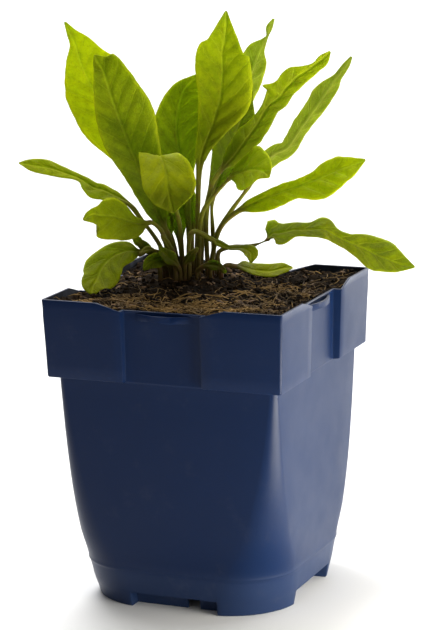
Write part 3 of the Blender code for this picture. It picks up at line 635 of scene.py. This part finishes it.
def square_ring(height, half, corner, notch_half, notch_depth, dip=0.0, bow=0.0):
    """One level of the pot: a rounded square with a set-back stretch along each side."""
    side_end = RIM_DIP_HALF_WIDTH - (RIM_HALF_WIDTH - half) * 0.5
    start = asin(held((side_end - (half - corner)) / corner))
    round_off = min(0.5, notch_depth / 2)
    steps = (
        (-0.5, 0.0), (-0.15, 0.3 * round_off), (0.0, round_off),
        (0.0, notch_depth - round_off), (0.15, notch_depth - 0.3 * round_off), (0.5, notch_depth),
    )
    run = [(-side_end, 0.0, 0.0), (-(side_end + notch_half) / 2, 0.0, dip * 0.5)]
    run += [(-notch_half + shift, depth, dip) for shift, depth in steps]
    mirrored = [(-across, depth, drop) for across, depth, drop in run[::-1]]
    for share in np.linspace(-1.0, 1.0, 15):
        run.append((share * TAB_HALF_WIDTH, notch_depth - bow * (1 - share * share), dip))
    run += mirrored
    ring = []
    for quarter in range(4):
        turn = quarter * pi / 2
        side = []
        for across, depth, drop in run:
            side.append((across, depth - outline_depth(across, half, corner), height - drop))
        centre = half - corner
        for step in range(CORNER_POINTS):
            angle = start + (pi / 2 - 2 * start) * (step + 0.5) / CORNER_POINTS
            side.append((centre + corner * sin(angle), -centre - corner * cos(angle), height))
        for x, y, z in side:
            ring.append((*spun(x, y, turn), z))
    return ring


def loft(rings):
    """Closed skin through rings of equal length, with a flat face at each end."""
    count = len(rings[0])
    points = [p for ring in rings for p in ring]
    last = len(points) - count
    faces = [tuple(reversed(range(count)))] + ring_faces(len(rings), count)
    faces.append(tuple(range(last, last + count)))
    return points, faces


def outer_rings():
    """Levels of the pot's outside from the ground to the rim."""
    rings = []
    ground_round = 0.25
    heights = [0.0, ground_round, 3.0, FOOT_GAP_HEIGHT - 0.3, FOOT_GAP_HEIGHT + 0.1, 9.5, 13.0]
    heights += [15.4, 16.2, 16.6, 16.9, 17.2, 17.6, 18.0, 18.4, 19.4, 22.0, 26.0, 31.0, 37.0]
    heights += [44.0, 51.0, 59.0, 67.0, 76.0, 85.0, 94.0, 100.8]
    for height in heights:
        half, corner = body_size(height)
        if height == 0.0:
            half -= ground_round
        depth = FOOT_GAP_DEPTH if height < FOOT_GAP_HEIGHT else 0.0
        notch = FOOT_GAP_HALF_WIDTH if height < 20.0 else PANEL_HALF_WIDTH
        rings.append(square_ring(height, half, corner, notch, depth))
    side = COLLAR_HALF_WIDTH
    levels = (
        (101.3, 50.4, 0.0, 0.0), (101.55, 50.9, 0.35, 0.0), (101.75, 53.1, 2.45, 0.0),
        (101.9, 53.55, 2.9, 0.0), (102.3, 53.8, 3.15, 0.0), (108.0, 54.0, 3.4, 0.0),
        (118.0, 54.35, 3.6, 0.0),
        (TAB_FROM - 0.2, side, PANEL_DEPTH, 0.0),
        (TAB_FROM - 0.12, side, PANEL_DEPTH, TAB_BOW - 0.35),
        (TAB_FROM + 0.2, side, PANEL_DEPTH, TAB_BOW),
        (TAB_TO - 0.25, side, PANEL_DEPTH, TAB_BOW),
        (TAB_TO, side, PANEL_DEPTH, TAB_BOW - 0.25),
        (TAB_TO + 0.15, side, PANEL_DEPTH, 0.0),
    )
    corner = COLLAR_CORNER
    notch = PANEL_HALF_WIDTH
    for height, half, depth, bow in levels:
        rings.append(square_ring(height, half, corner, notch, depth, 0.0, bow))
    for down, less in ((LIP_ROUND, 0.0), (0.12, 0.12), (0.0, LIP_ROUND)):
        half = RIM_HALF_WIDTH - less
        rings.append(square_ring(RIM_HEIGHT - down, half, corner, notch, PANEL_DEPTH, RIM_DIP))
    return rings


def inner_rings(less, lip=()):
    """Levels of the pot's inside down to the floor, set in by a distance, below its lip if any."""
    notch = PANEL_HALF_WIDTH + less
    corner = INNER_CORNER
    rings = []
    for down, out in lip:
        half = RIM_HALF_WIDTH - less + out
        rings.append(square_ring(RIM_HEIGHT - down, half, corner, notch, PANEL_DEPTH, RIM_DIP))
    rings.append(square_ring(STEP_TOP, STEP_HALF_WIDTH - less, corner, notch, STEP_PANEL_DEPTH))
    step_foot = STEP_FOOT + less - WALL
    rings.append(square_ring(step_foot, UNDER_STEP_HALF_WIDTH - less, LEAST_CORNER, notch, 0.0))
    for height in (88.0, 76.0, 63.0, 51.0, 41.0, 31.0, 25.0, 19.0):
        half, round_corner = body_size(height)
        corner = max(LEAST_CORNER, round_corner - less)
        rings.append(square_ring(height, half - less, corner, notch, 0.0))
    floor = FLOOR_TOP + less - WALL
    half, round_corner = body_size(floor + 2.0)
    for rise, inward, sharper in ((2.0, 0.2, 0.0), (0.5, 0.7, 0.5), (0.0, 1.6, 1.4)):
        corner = round_corner - less - sharper
        rings.append(square_ring(floor + rise, half - less - inward, corner, notch, 0.0))
    return rings


def foot_rings():
    """The hollow under the floor, from the ground up."""
    notch = FOOT_GAP_HALF_WIDTH + FOOT_WALL
    rings = []
    for height in (0.0, FLOOR_UNDER):
        half, corner = body_size(height)
        rings.append(square_ring(height, half - FOOT_WALL, corner - FOOT_WALL, notch, FOOT_GAP_DEPTH))
    return rings


def cut_with(body, cutters):
    """Cut the shapes out of a body, keep the result as its mesh and remove the shapes."""
    for cutter in cutters:
        boolean = body.modifiers.new("cut_" + cutter.name, "BOOLEAN")
        boolean.operation = "DIFFERENCE"
        boolean.solver = "EXACT"
        boolean.object = cutter
    bpy.context.view_layer.update()
    graph = bpy.context.evaluated_depsgraph_get()
    done = bpy.data.meshes.new_from_object(body.evaluated_get(graph))
    body.modifiers.clear()
    body.data = done
    done.name = body.name
    for cutter in cutters:
        bpy.data.objects.remove(cutter, do_unlink=True)
    done.shade_smooth()
    done.set_sharp_from_angle(angle=radians(POT_EDGE_ANGLE))


def box_cutter(name, size, place, turn):
    bpy.ops.mesh.primitive_cube_add(size=1.0, location=[v * MM for v in place], rotation=(0, 0, turn))
    cutter = bpy.context.object
    cutter.name = name
    cutter.scale = [v * MM for v in size]
    return cutter


def round_cutter(name, radius, depth, place):
    bpy.ops.mesh.primitive_cylinder_add(
        vertices=40, radius=radius * MM, depth=depth * MM, location=[v * MM for v in place])
    cutter = bpy.context.object
    cutter.name = name
    return cutter


def label_slot_cutter(name, turn):
    """The crescent behind a label tab, open at its top and bottom."""
    plan = []
    for across in np.linspace(-TAB_SLOT_HALF_WIDTH, TAB_SLOT_HALF_WIDTH, 31):
        bow = TAB_BOW * (1 - (across / TAB_HALF_WIDTH) ** 2)
        plan.append((across, -(PANEL_OUT + bow - TAB_THICKNESS)))
    plan += [(x, 0.15 - PANEL_OUT) for x in (TAB_SLOT_HALF_WIDTH, -TAB_SLOT_HALF_WIDTH)]
    plan = [spun(x, y, turn) for x, y in plan]
    points, faces = loft([[(x, y, height) for x, y in plan] for height in (TAB_FROM - 0.5, TAB_TO + 0.5)])
    return make_object(name, on_pot(points), faces, None, POT_EDGE_ANGLE)


def on_pot(points):
    """Points in millimetres from the pot's axis, in metres in the frame."""
    return [((x + POT_AT[0]) * MM, (y + POT_AT[1]) * MM, z * MM) for x, y, z in points]


def make_pot(material):
    lip = ((0.0, LIP_ROUND), (0.12, 0.12), (LIP_ROUND, 0.0))
    points, faces = loft(foot_rings()[::-1] + outer_rings() + inner_rings(WALL, lip))
    pot = make_object("pot_moulded", on_pot(points), faces, material, POT_EDGE_ANGLE)
    cutters = []
    for quarter in range(4):
        turn = quarter * pi / 2
        x, y = spun((SLOT_FROM + SLOT_TO) / 2, SLOT_OUT, turn)
        place = (POT_AT[0] + x, POT_AT[1] + y, 0.0)
        size = (SLOT_TO - SLOT_FROM, SLOT_CUT, 2 * SLOT_HEIGHT)
        cutters.append(box_cutter(f"foot_slot_{quarter}", size, place, turn))
        cutters.append(label_slot_cutter(f"tab_slot_{quarter}", turn))
    middle = (FLOOR_UNDER + FLOOR_TOP) / 2
    cutters.append(round_cutter("drain_middle", DRAIN_RADIUS + 1.0, DRAIN_CUT, (*POT_AT, middle)))
    for x in (-DRAIN_OUT, DRAIN_OUT):
        for y in (-DRAIN_OUT, DRAIN_OUT):
            place = (POT_AT[0] + x, POT_AT[1] + y, middle)
            cutters.append(round_cutter(f"drain_{x:.0f}_{y:.0f}", DRAIN_RADIUS, DRAIN_CUT, place))
    cut_with(pot, cutters)
    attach(pot, "root")
    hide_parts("pot")


# Soil
def in_corner(x, y):
    """How far a place lies in a corner of the pot, from 0 to 1."""
    return min(1.0, (x * y) ** 2 / RIM_HALF_WIDTH ** 4)


def soil_height(x, y):
    """Relief of the soil about the pot's axis, as in the part's source."""
    dx = x - CROWN_FROM_POT[0]
    dy = y - CROWN_FROM_POT[1]
    mound = MOUND_HEIGHT * exp(-(dx * dx + dy * dy) / (2 * MOUND_SPREAD * MOUND_SPREAD))
    corner = CORNER_RISE * in_corner(x, y)
    clods = 0.4 * sin(0.31 * x + 0.7) * cos(0.27 * y - 0.4) + 0.3 * sin(0.61 * x - 0.5 * y)
    near = exp(-(dx * dx + dy * dy) / (2 * CALM_SPREAD * CALM_SPREAD))
    return SOIL_LEVEL + mound + corner + clods * (1.0 - 0.8 * near)


def crumbled(x, y):
    """The soil's height with its clods, pits and grains."""
    place = Vector((x * 0.16, y * 0.16, 0.3))
    clod = noise.fractal(place, 1.0, 2.0, 3)
    lumps = noise.voronoi(Vector((x * 0.42, y * 0.42, 1.7)))[0][0]
    grain = noise.noise(Vector((x * 1.6, y * 1.6, 5.0)))
    heaped = HEAPED_CORNERS * in_corner(x, y)
    return soil_height(x, y) + heaped + 1.15 * clod + 1.0 * (0.45 - lumps) + 0.24 * grain


def make_soil(material):
    """The fill of the pot: a crumbled top and plain sides just inside the wall."""
    less = WALL + GAP
    top_half = RIM_HALF_WIDTH - less - 0.1
    cells = SOIL_CELLS
    points = []
    for row in range(cells + 1):
        for column in range(cells + 1):
            x = top_half * (2.0 * column / cells - 1.0)
            y = top_half * (2.0 * row / cells - 1.0)
            x, y = inside_pot(x, y, top_half)
            rim = min(top_half - abs(x), top_half - abs(y), 2.0) / 2.0
            points.append((x, y, crumbled(x, y) - 0.5 * (1.0 - rim)))
    wide = cells + 1
    faces = []
    for row in range(cells):
        for column in range(cells):
            a = row * wide + column
            faces.append((a, a + 1, a + wide + 1, a + wide))
    edge = list(range(cells)) + [row * wide + cells for row in range(cells)]
    edge += [cells * wide + cells - k for k in range(cells)]
    edge += [(cells - row) * wide for row in range(cells)]
    foot = len(points)
    points += [(points[index][0], points[index][1], SOIL_LEVEL - SOIL_TOP_DEPTH) for index in edge]
    count = len(edge)
    for k in range(count):
        after = (k + 1) % count
        faces.append((edge[k], foot + k, foot + after, edge[after]))
    faces.append(tuple(foot + k for k in range(count - 1, -1, -1)))
    top = make_object("soil_surface", on_pot(points), faces, material, 0)
    block_points, block_faces = loft(inner_rings(less)[::-1])
    block = make_object("soil_block", on_pot(block_points), block_faces, material, POT_EDGE_ANGLE)
    for piece in (top, block):
        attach(piece, "root")
        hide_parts("potting_soil")


def inside_pot(x, y, half):
    """Move a point of a square grid inside the panels that stand into the pot."""
    set_in = PANEL_DEPTH + 0.2
    for _ in range(2):
        share = held((PANEL_HALF_WIDTH + 3.0 - abs(x)) / 1.4)
        limit = half - set_in * softened(share)
        ease = max(0.0, (abs(y) - half * 0.7) / (half * 0.3))
        y = np.sign(y) * (abs(y) - ease * (half - limit))
        x, y = y, x
    return x, y


def stone_shape(seed, flatness):
    """A rough little lump of unit size."""
    bpy.ops.mesh.primitive_ico_sphere_add(subdivisions=2, radius=1.0)
    lump = bpy.context.object
    points = np.array([v.co[:] for v in lump.data.vertices])
    faces = [tuple(p.vertices) for p in lump.data.polygons]
    for index, point in enumerate(points):
        bulge = noise.noise(Vector(point) * 1.3 + Vector((seed * 7.1, 0, 0)))
        points[index] = point * (1.0 + 0.45 * bulge)
    points[:, 2] *= flatness
    bpy.data.objects.remove(lump, do_unlink=True)
    return points, faces


def turned(points, angles):
    a, b, c = angles
    matrix = np.array(Matrix.Rotation(a, 3, "X") @ Matrix.Rotation(b, 3, "Y") @ Matrix.Rotation(c, 3, "Z"))
    return points @ matrix.T


def past_wall(x, y, half, set_in):
    """Whether a place lies outside the soil, which a panel narrows at each side's middle."""
    beside_panel = min(abs(x), abs(y)) < PANEL_HALF_WIDTH + 2.5
    return max(abs(x), abs(y)) > half - set_in * beside_panel


def open_spot(keep_off):
    """A random place on the soil, clear of the wall, about the pot's axis."""
    half = RIM_HALF_WIDTH - WALL - GAP - keep_off
    while True:
        x, y = RANDOM.uniform(-half, half, 2)
        if not past_wall(x, y, half, PANEL_DEPTH):
            return x, y


def on_soil(x, y, lift):
    """A place in the frame that lies above the soil, in millimetres."""
    return np.array([x + POT_AT[0], y + POT_AT[1], crumbled(x, y) + lift])


def make_crumbs(material):
    shapes = [stone_shape(seed, 0.75) for seed in range(7)]
    heap = Heap()
    for index in range(CRUMBS):
        x, y = open_spot(2.0)
        points, faces = shapes[index % len(shapes)]
        size = 0.35 + 0.95 * RANDOM.random() ** 3.2
        if index % 60 == 0:
            size *= 1.5
        near = np.hypot(x - CROWN_FROM_POT[0], y - CROWN_FROM_POT[1])
        bit = turned(points * size, RANDOM.uniform(0, 2 * pi, 3))
        if near < 16 and index % 3 == 0:
            bit = bit * 1.35
        heap.add(bit + on_soil(x, y, 0.35 * size), faces)
    heap.lay("soil_crumbs", material, BIT_EDGE_ANGLE)


def fibre_path(x, y, length, heading, curl, lift):
    """A strand's way over the soil, which ends early where it meets the wall."""
    steps = max(5, int(length / 1.4))
    path = []
    for k in range(steps + 1):
        share = k / steps
        path.append((x, y, crumbled(x, y) + lift * sin(pi * share) + 0.12))
        heading += curl * length / steps + RANDOM.normal(0, 0.13)
        x += cos(heading) * length / steps
        y += sin(heading) * length / steps
        if past_wall(x, y, RIM_HALF_WIDTH - 2.7, 4.1):
            break
    return path


def make_fibres(material):
    """Coir strands, thickest along the front of the pot where the photograph shows them."""
    heap = Heap()
    for index in range(FIBRES):
        x, y = open_spot(2.0)
        if index % 5:
            middle_x, middle_y, reach = FIBRE_PATCHES[index % len(FIBRE_PATCHES)]
            x = middle_x + reach * RANDOM.normal()
            y = middle_y + reach * RANDOM.normal()
        furthest = max(abs(x), abs(y))
        if furthest > RIM_HALF_WIDTH - 7.0:
            x, y = (value * (RIM_HALF_WIDTH - 7.0) / furthest for value in (x, y))
        length = RANDOM.uniform(5, 20)
        path = fibre_path(
            x, y, length, RANDOM.uniform(0, 2 * pi), RANDOM.normal(0, 0.07), RANDOM.uniform(0.1, 1.1))
        if len(path) < 4:
            continue
        thick = 0.1 + 0.2 * RANDOM.random() ** 2
        radii = [thick * (1.0 - 0.6 * abs(2 * k / (len(path) - 1) - 1) ** 3) for k in range(len(path))]
        points, faces = tube(path, radii, 4)
        heap.add(np.array(points) + np.array([POT_AT[0], POT_AT[1], 0]), faces)
    heap.lay("coir_fibres", material, 0)


def make_chips(material):
    shapes = [stone_shape(20 + seed, 0.28) for seed in range(4)]
    heap = Heap()
    for index in range(CHIPS):
        x, y = open_spot(3.0)
        points, faces = shapes[index % len(shapes)]
        size = RANDOM.uniform(0.7, 1.5)
        bit = points * size * np.array([1.7, 0.7, 1.0])
        tilt = RANDOM.normal(0, 0.35, 2)
        bit = turned(bit, (tilt[0], tilt[1], RANDOM.uniform(0, 2 * pi)))
        heap.add(bit + on_soil(x, y, 0.35), faces)
    heap.lay("bark_bits", material, BIT_EDGE_ANGLE)


# Leaves
def blended(low, high, start, end, t):
    """A point between two others, by how far t is from start to end."""
    return (end - t) / (end - start) * low + (t - start) / (end - start) * high


def smooth_path(stations):
    """Points about a millimetre apart on a smooth curve through the stations."""
    knots = np.array(stations, float)
    knots = np.vstack([2 * knots[0] - knots[1], knots, 2 * knots[-1] - knots[-2]])
    path = []
    for i in range(1, len(knots) - 2):
        p0, p1, p2, p3 = knots[i - 1:i + 3]
        span = np.linalg.norm((p2 - p1)[:3])
        wide = max(p1[3], p2[3])
        if i == 1:
            steps = 1
        else:
            steps = max(1, round(span / (STEP if wide > 1.2 else 2.2 * STEP)))
        times = [0.0]
        for a, b in ((p0, p1), (p1, p2), (p2, p3)):
            times.append(times[-1] + max(0.03, sqrt(np.linalg.norm((b - a)[:3]))))
        t0, t1, t2, t3 = times
        for step in range(steps):
            t = t1 + (t2 - t1) * step / steps
            a1 = blended(p0, p1, t0, t1, t)
            a2 = blended(p1, p2, t1, t2, t)
            a3 = blended(p2, p3, t2, t3, t)
            b1 = blended(a1, a2, t0, t2, t)
            b2 = blended(a2, a3, t1, t3, t)
            path.append(blended(b1, b2, t1, t2, t))
    path.append(knots[-2])
    return np.array(path)


def vein_relief(out, along, wobble):
    """How much a side vein sinks the blade here, and how much the tissue between swells."""
    phase = (along + wobble - VEIN_SLANT * out) / VEIN_SPACING
    from_vein = abs((phase + 0.5) % 1.0 - 0.5) * VEIN_SPACING
    sink = exp(-(from_vein / 0.75) ** 2)
    swell = sin(pi * min(1.0, from_vein / (VEIN_SPACING / 2)) / 2) ** 2
    return sink, swell


def tuft_light_share(point):
    """Share of its green that a leaf keeps here, the rest painted shade: less of it deep inside the tuft.
    """
    x, y, z = point
    away = sqrt(x * x + 0.5 * y * y)
    rise = held((z - 160.0) / 62.0)
    spread = held((away - 14.0) / 24.0)
    return 0.3 + 0.7 * max(rise, spread)


def shaded(name, height):
    """Share of its green that a leaf keeps at a height, where it hangs in its neighbours' shade."""
    if name not in SHADED_BELOW:
        return 1.0
    full, deep, left_over = SHADED_BELOW[name]
    return left_over + (1.0 - left_over) * softened(held((height - deep) / (full - deep)))


def leaf_mesh(name, stations, fold, wave, tone_and_painted_light, side_base, side_tip=None):
    """A thin veined leaf on its stalk, with the numbers its material reads at each point."""
    x, y, _, radius = stations[0]
    foot = [(x, y, STALK_FOOT, radius, radius), (x, y, STALK_STRAIGHT_TO, radius, radius)]
    both_sides = [row if len(row) == 5 else (*row, row[3]) for row in stations]
    path = smooth_path(foot + both_sides)
    spine = path[:, :3]
    left = np.maximum(path[:, 3], 0.3)
    right = np.maximum(path[:, 4], 0.3)
    run = np.concatenate([[0.0], np.cumsum(np.linalg.norm(np.diff(spine, axis=0), axis=1))])
    ahead = np.gradient(spine, axis=0)
    ahead /= np.linalg.norm(ahead, axis=1)[:, None]
    begin = run[int(np.argmax(left + right > 3.0))]
    even = np.linspace(-1.0, 1.0, COLUMNS)
    across = 0.6 * even + 0.4 * even ** 3
    side_tip = np.array(side_tip or side_base, float)
    side_base = np.array(side_base, float)
    seed = sum(ord(letter) for letter in name) % 97
    points = []
    carried = []
    for k in range(len(spine)):
        along = held((run[k] - begin) / (run[-1] - begin))
        side = side_base * (1 - along) + side_tip * along
        side -= side.dot(ahead[k]) * ahead[k]
        side /= np.linalg.norm(side)
        up = np.cross(side, ahead[k])
        half = (left[k] + right[k]) / 2
        blend = softened(held((half - 1.2) / 2.0)) if run[k] < begin + 10 else 1.0
        strength = wave * min(1.0, half / 7.0)
        stalk = min(half, 1.15)
        stalk_rise = held((spine[k][2] - 134.0) / 30.0)
        tooth = 0.35 * min(1.0, half / 6.0) * noise.noise(Vector((run[k] * 0.32, seed, 0.0)))
        for face in (1, -1):
            columns = range(COLUMNS) if face > 0 else range(COLUMNS - 1, -1, -1)
            for column in columns:
                u = float(across[column])
                width = (left[k] if u < 0 else right[k]) + tooth * abs(u)
                shift = 0.0 if u < 0 else 2.0
                ripple = strength * u * u * sin(2 * pi * (2.1 * along + 0.17) + shift)
                out = abs(u) * width
                wobble = 2.0 * noise.noise(Vector((u * width * 0.12, run[k] * 0.1, seed)))
                sink, swell = vein_relief(out, run[k] - begin, wobble)
                firm = min(1.0, out / 1.5) * min(1.0, half / 6.0) * (1 - abs(u) ** 6)
                relief = firm * (0.40 * swell - 0.24 * sink)
                groove = 0.28 * exp(-(out / 0.55) ** 2) * min(1.0, half / 4.0)
                lift = fold * out + ripple + relief - groove * (face > 0)
                keel = KEEL * exp(-(out / 0.8) ** 2) * (face < 0) * (1.0 - 0.75 * along)
                thin = BLADE_HALF * (1.0 - 0.75 * abs(u) ** 8)
                angle = u * 0.84 * pi / 2
                sideways = (1 - blend) * stalk * sin(angle) + blend * u * width
                upward = (1 - blend) * face * stalk * cos(angle) + blend * (lift + face * thin - keel)
                point = spine[k] + sideways * side + upward * up
                points.append(point)
                unshaded = tuft_light_share(point) * shaded(name, point[2])
                edge = abs(u) ** 10 * blend
                under = float(face < 0)
                carried.append((u * width, run[k] - begin, under, blend, edge, stalk_rise, unshaded, tone_and_painted_light))
    ring = 2 * COLUMNS
    last = len(points) - ring
    faces = ring_faces(len(spine), ring)
    faces.append(tuple(range(ring - 1, -1, -1)))
    faces.append(tuple(range(last, last + ring)))
    return points, faces, carried


def place_on_crown(points):
    """Turn points from the plant's own directions to the frame's, in metres."""
    placed = []
    for x, y, z in points:
        x, y = spun(x, y, PLANT_TURN)
        placed.append((x + CROWN_FROM_POT[0], y + CROWN_FROM_POT[1], z))
    return on_pot(placed)


def make_leaf(name, shape, material):
    """One leaf in its place, with the numbers that its material reads."""
    points, faces, carried = shape
    leaf = make_object(name, place_on_crown(points), faces, material, 0)
    for key, values in zip(CARRIED, zip(*carried)):
        attribute = leaf.data.attributes.new(key, "FLOAT", "POINT")
        attribute.data.foreach_set("value", list(values))
    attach(leaf, "root")
    return leaf


def make_leaves(material):
    for name, shape in LEAVES.items():
        leaf = make_leaf(name + "_fine", leaf_mesh(name, *shape), material)
        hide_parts(name)
    for number, stations in enumerate(CROWN_LEAVES):
        away = Vector(stations[-1][:3]) - Vector(stations[0][:3])
        side = tuple(away.cross(Vector((0.25, -1.0, 0.35))).normalized())
        name = f"crown_leaf_{number}"
        make_leaf(name, leaf_mesh(name, stations, 0.2, 0.4, 0.05, side), material)


# Studio
def make_camera():
    flat = cos(CAMERA_PITCH)
    back = Vector((sin(CAMERA_YAW) * flat, -cos(CAMERA_YAW) * flat, sin(CAMERA_PITCH)))
    level = Vector((cos(CAMERA_YAW), sin(CAMERA_YAW), 0.0))
    upright = back.cross(level)
    right = level * cos(CAMERA_ROLL) - upright * sin(CAMERA_ROLL)
    up = level * sin(CAMERA_ROLL) + upright * cos(CAMERA_ROLL)
    data = bpy.data.cameras.new("photo_camera")
    data.sensor_width = SENSOR
    data.lens = FOCAL_PIXELS / PHOTO_HEIGHT_PIXELS * SENSOR
    camera = in_scene("photo_camera", data)
    matrix = Matrix((right, up, back)).transposed().to_4x4()
    x, y, z = CAMERA_FROM_POT
    matrix.translation = Vector((x + POT_AT[0], y + POT_AT[1], z)) * MM
    camera.matrix_world = matrix
    bpy.context.scene.camera = camera


def make_light(name, place, aim, size, power, tone=(1.0, 1.0, 1.0)):
    """A round soft light that points at its aim, with its width in metres and its power in watts."""
    data = bpy.data.lights.new(name, "AREA")
    data.shape = "DISK"
    data.size = size
    data.energy = power
    data.color = tone
    light = in_scene(name, data)
    light.location = place
    light.rotation_euler = (Vector(aim) - Vector(place)).to_track_quat("-Z", "Y").to_euler()
    light.visible_camera = False
    return data


def make_studio():
    bpy.ops.mesh.primitive_plane_add(size=16.0, location=(0.0, 0.0, 0.0))
    floor = bpy.context.object
    floor.name = "studio_floor"
    floor.data.materials.append(plain_floor())
    world = bpy.data.worlds.new("studio_air")
    world.use_nodes = True
    air = world.node_tree.nodes["Background"].inputs
    air[0].default_value = (1.0, 1.0, 1.0, 1.0)
    air[1].default_value = 0.25
    bpy.context.scene.world = world
    bpy.context.scene.view_settings.view_transform = "Standard"
    make_light("softbox_above", (-0.35, 0.25, 1.20), (0.0, 0.05, 0.2), 0.6, 14.5)
    make_light("panel_behind_right", (0.75, 1.25, 0.35), (0.0, 0.0, 0.12), 1.1, 20.0)
    make_light("panel_right", (1.12, -0.28, 0.17), (0.0, 0.0, 0.07), 0.5, 4.0)
    strip = make_light(
        "low_strip_right", (0.232, -0.07, 0.033), (0.045, -0.045, 0.05), 0.24, 1.05, (1.0, 0.95, 0.82))
    strip.shape = "RECTANGLE"
    strip.size_y = 0.06
    make_light("far_floor_light", (-0.9, 2.6, 1.6), (-0.9, 2.6, 0.0), 3.0, 75.0)


def main():
    make_camera()
    make_pot(pot_plastic())
    make_soil(soil_ground())
    make_crumbs(crumb_peat())
    make_fibres(coir_fibre())
    make_chips(wood_chip())
    make_leaves(leaf_skin())
    make_studio()


main()
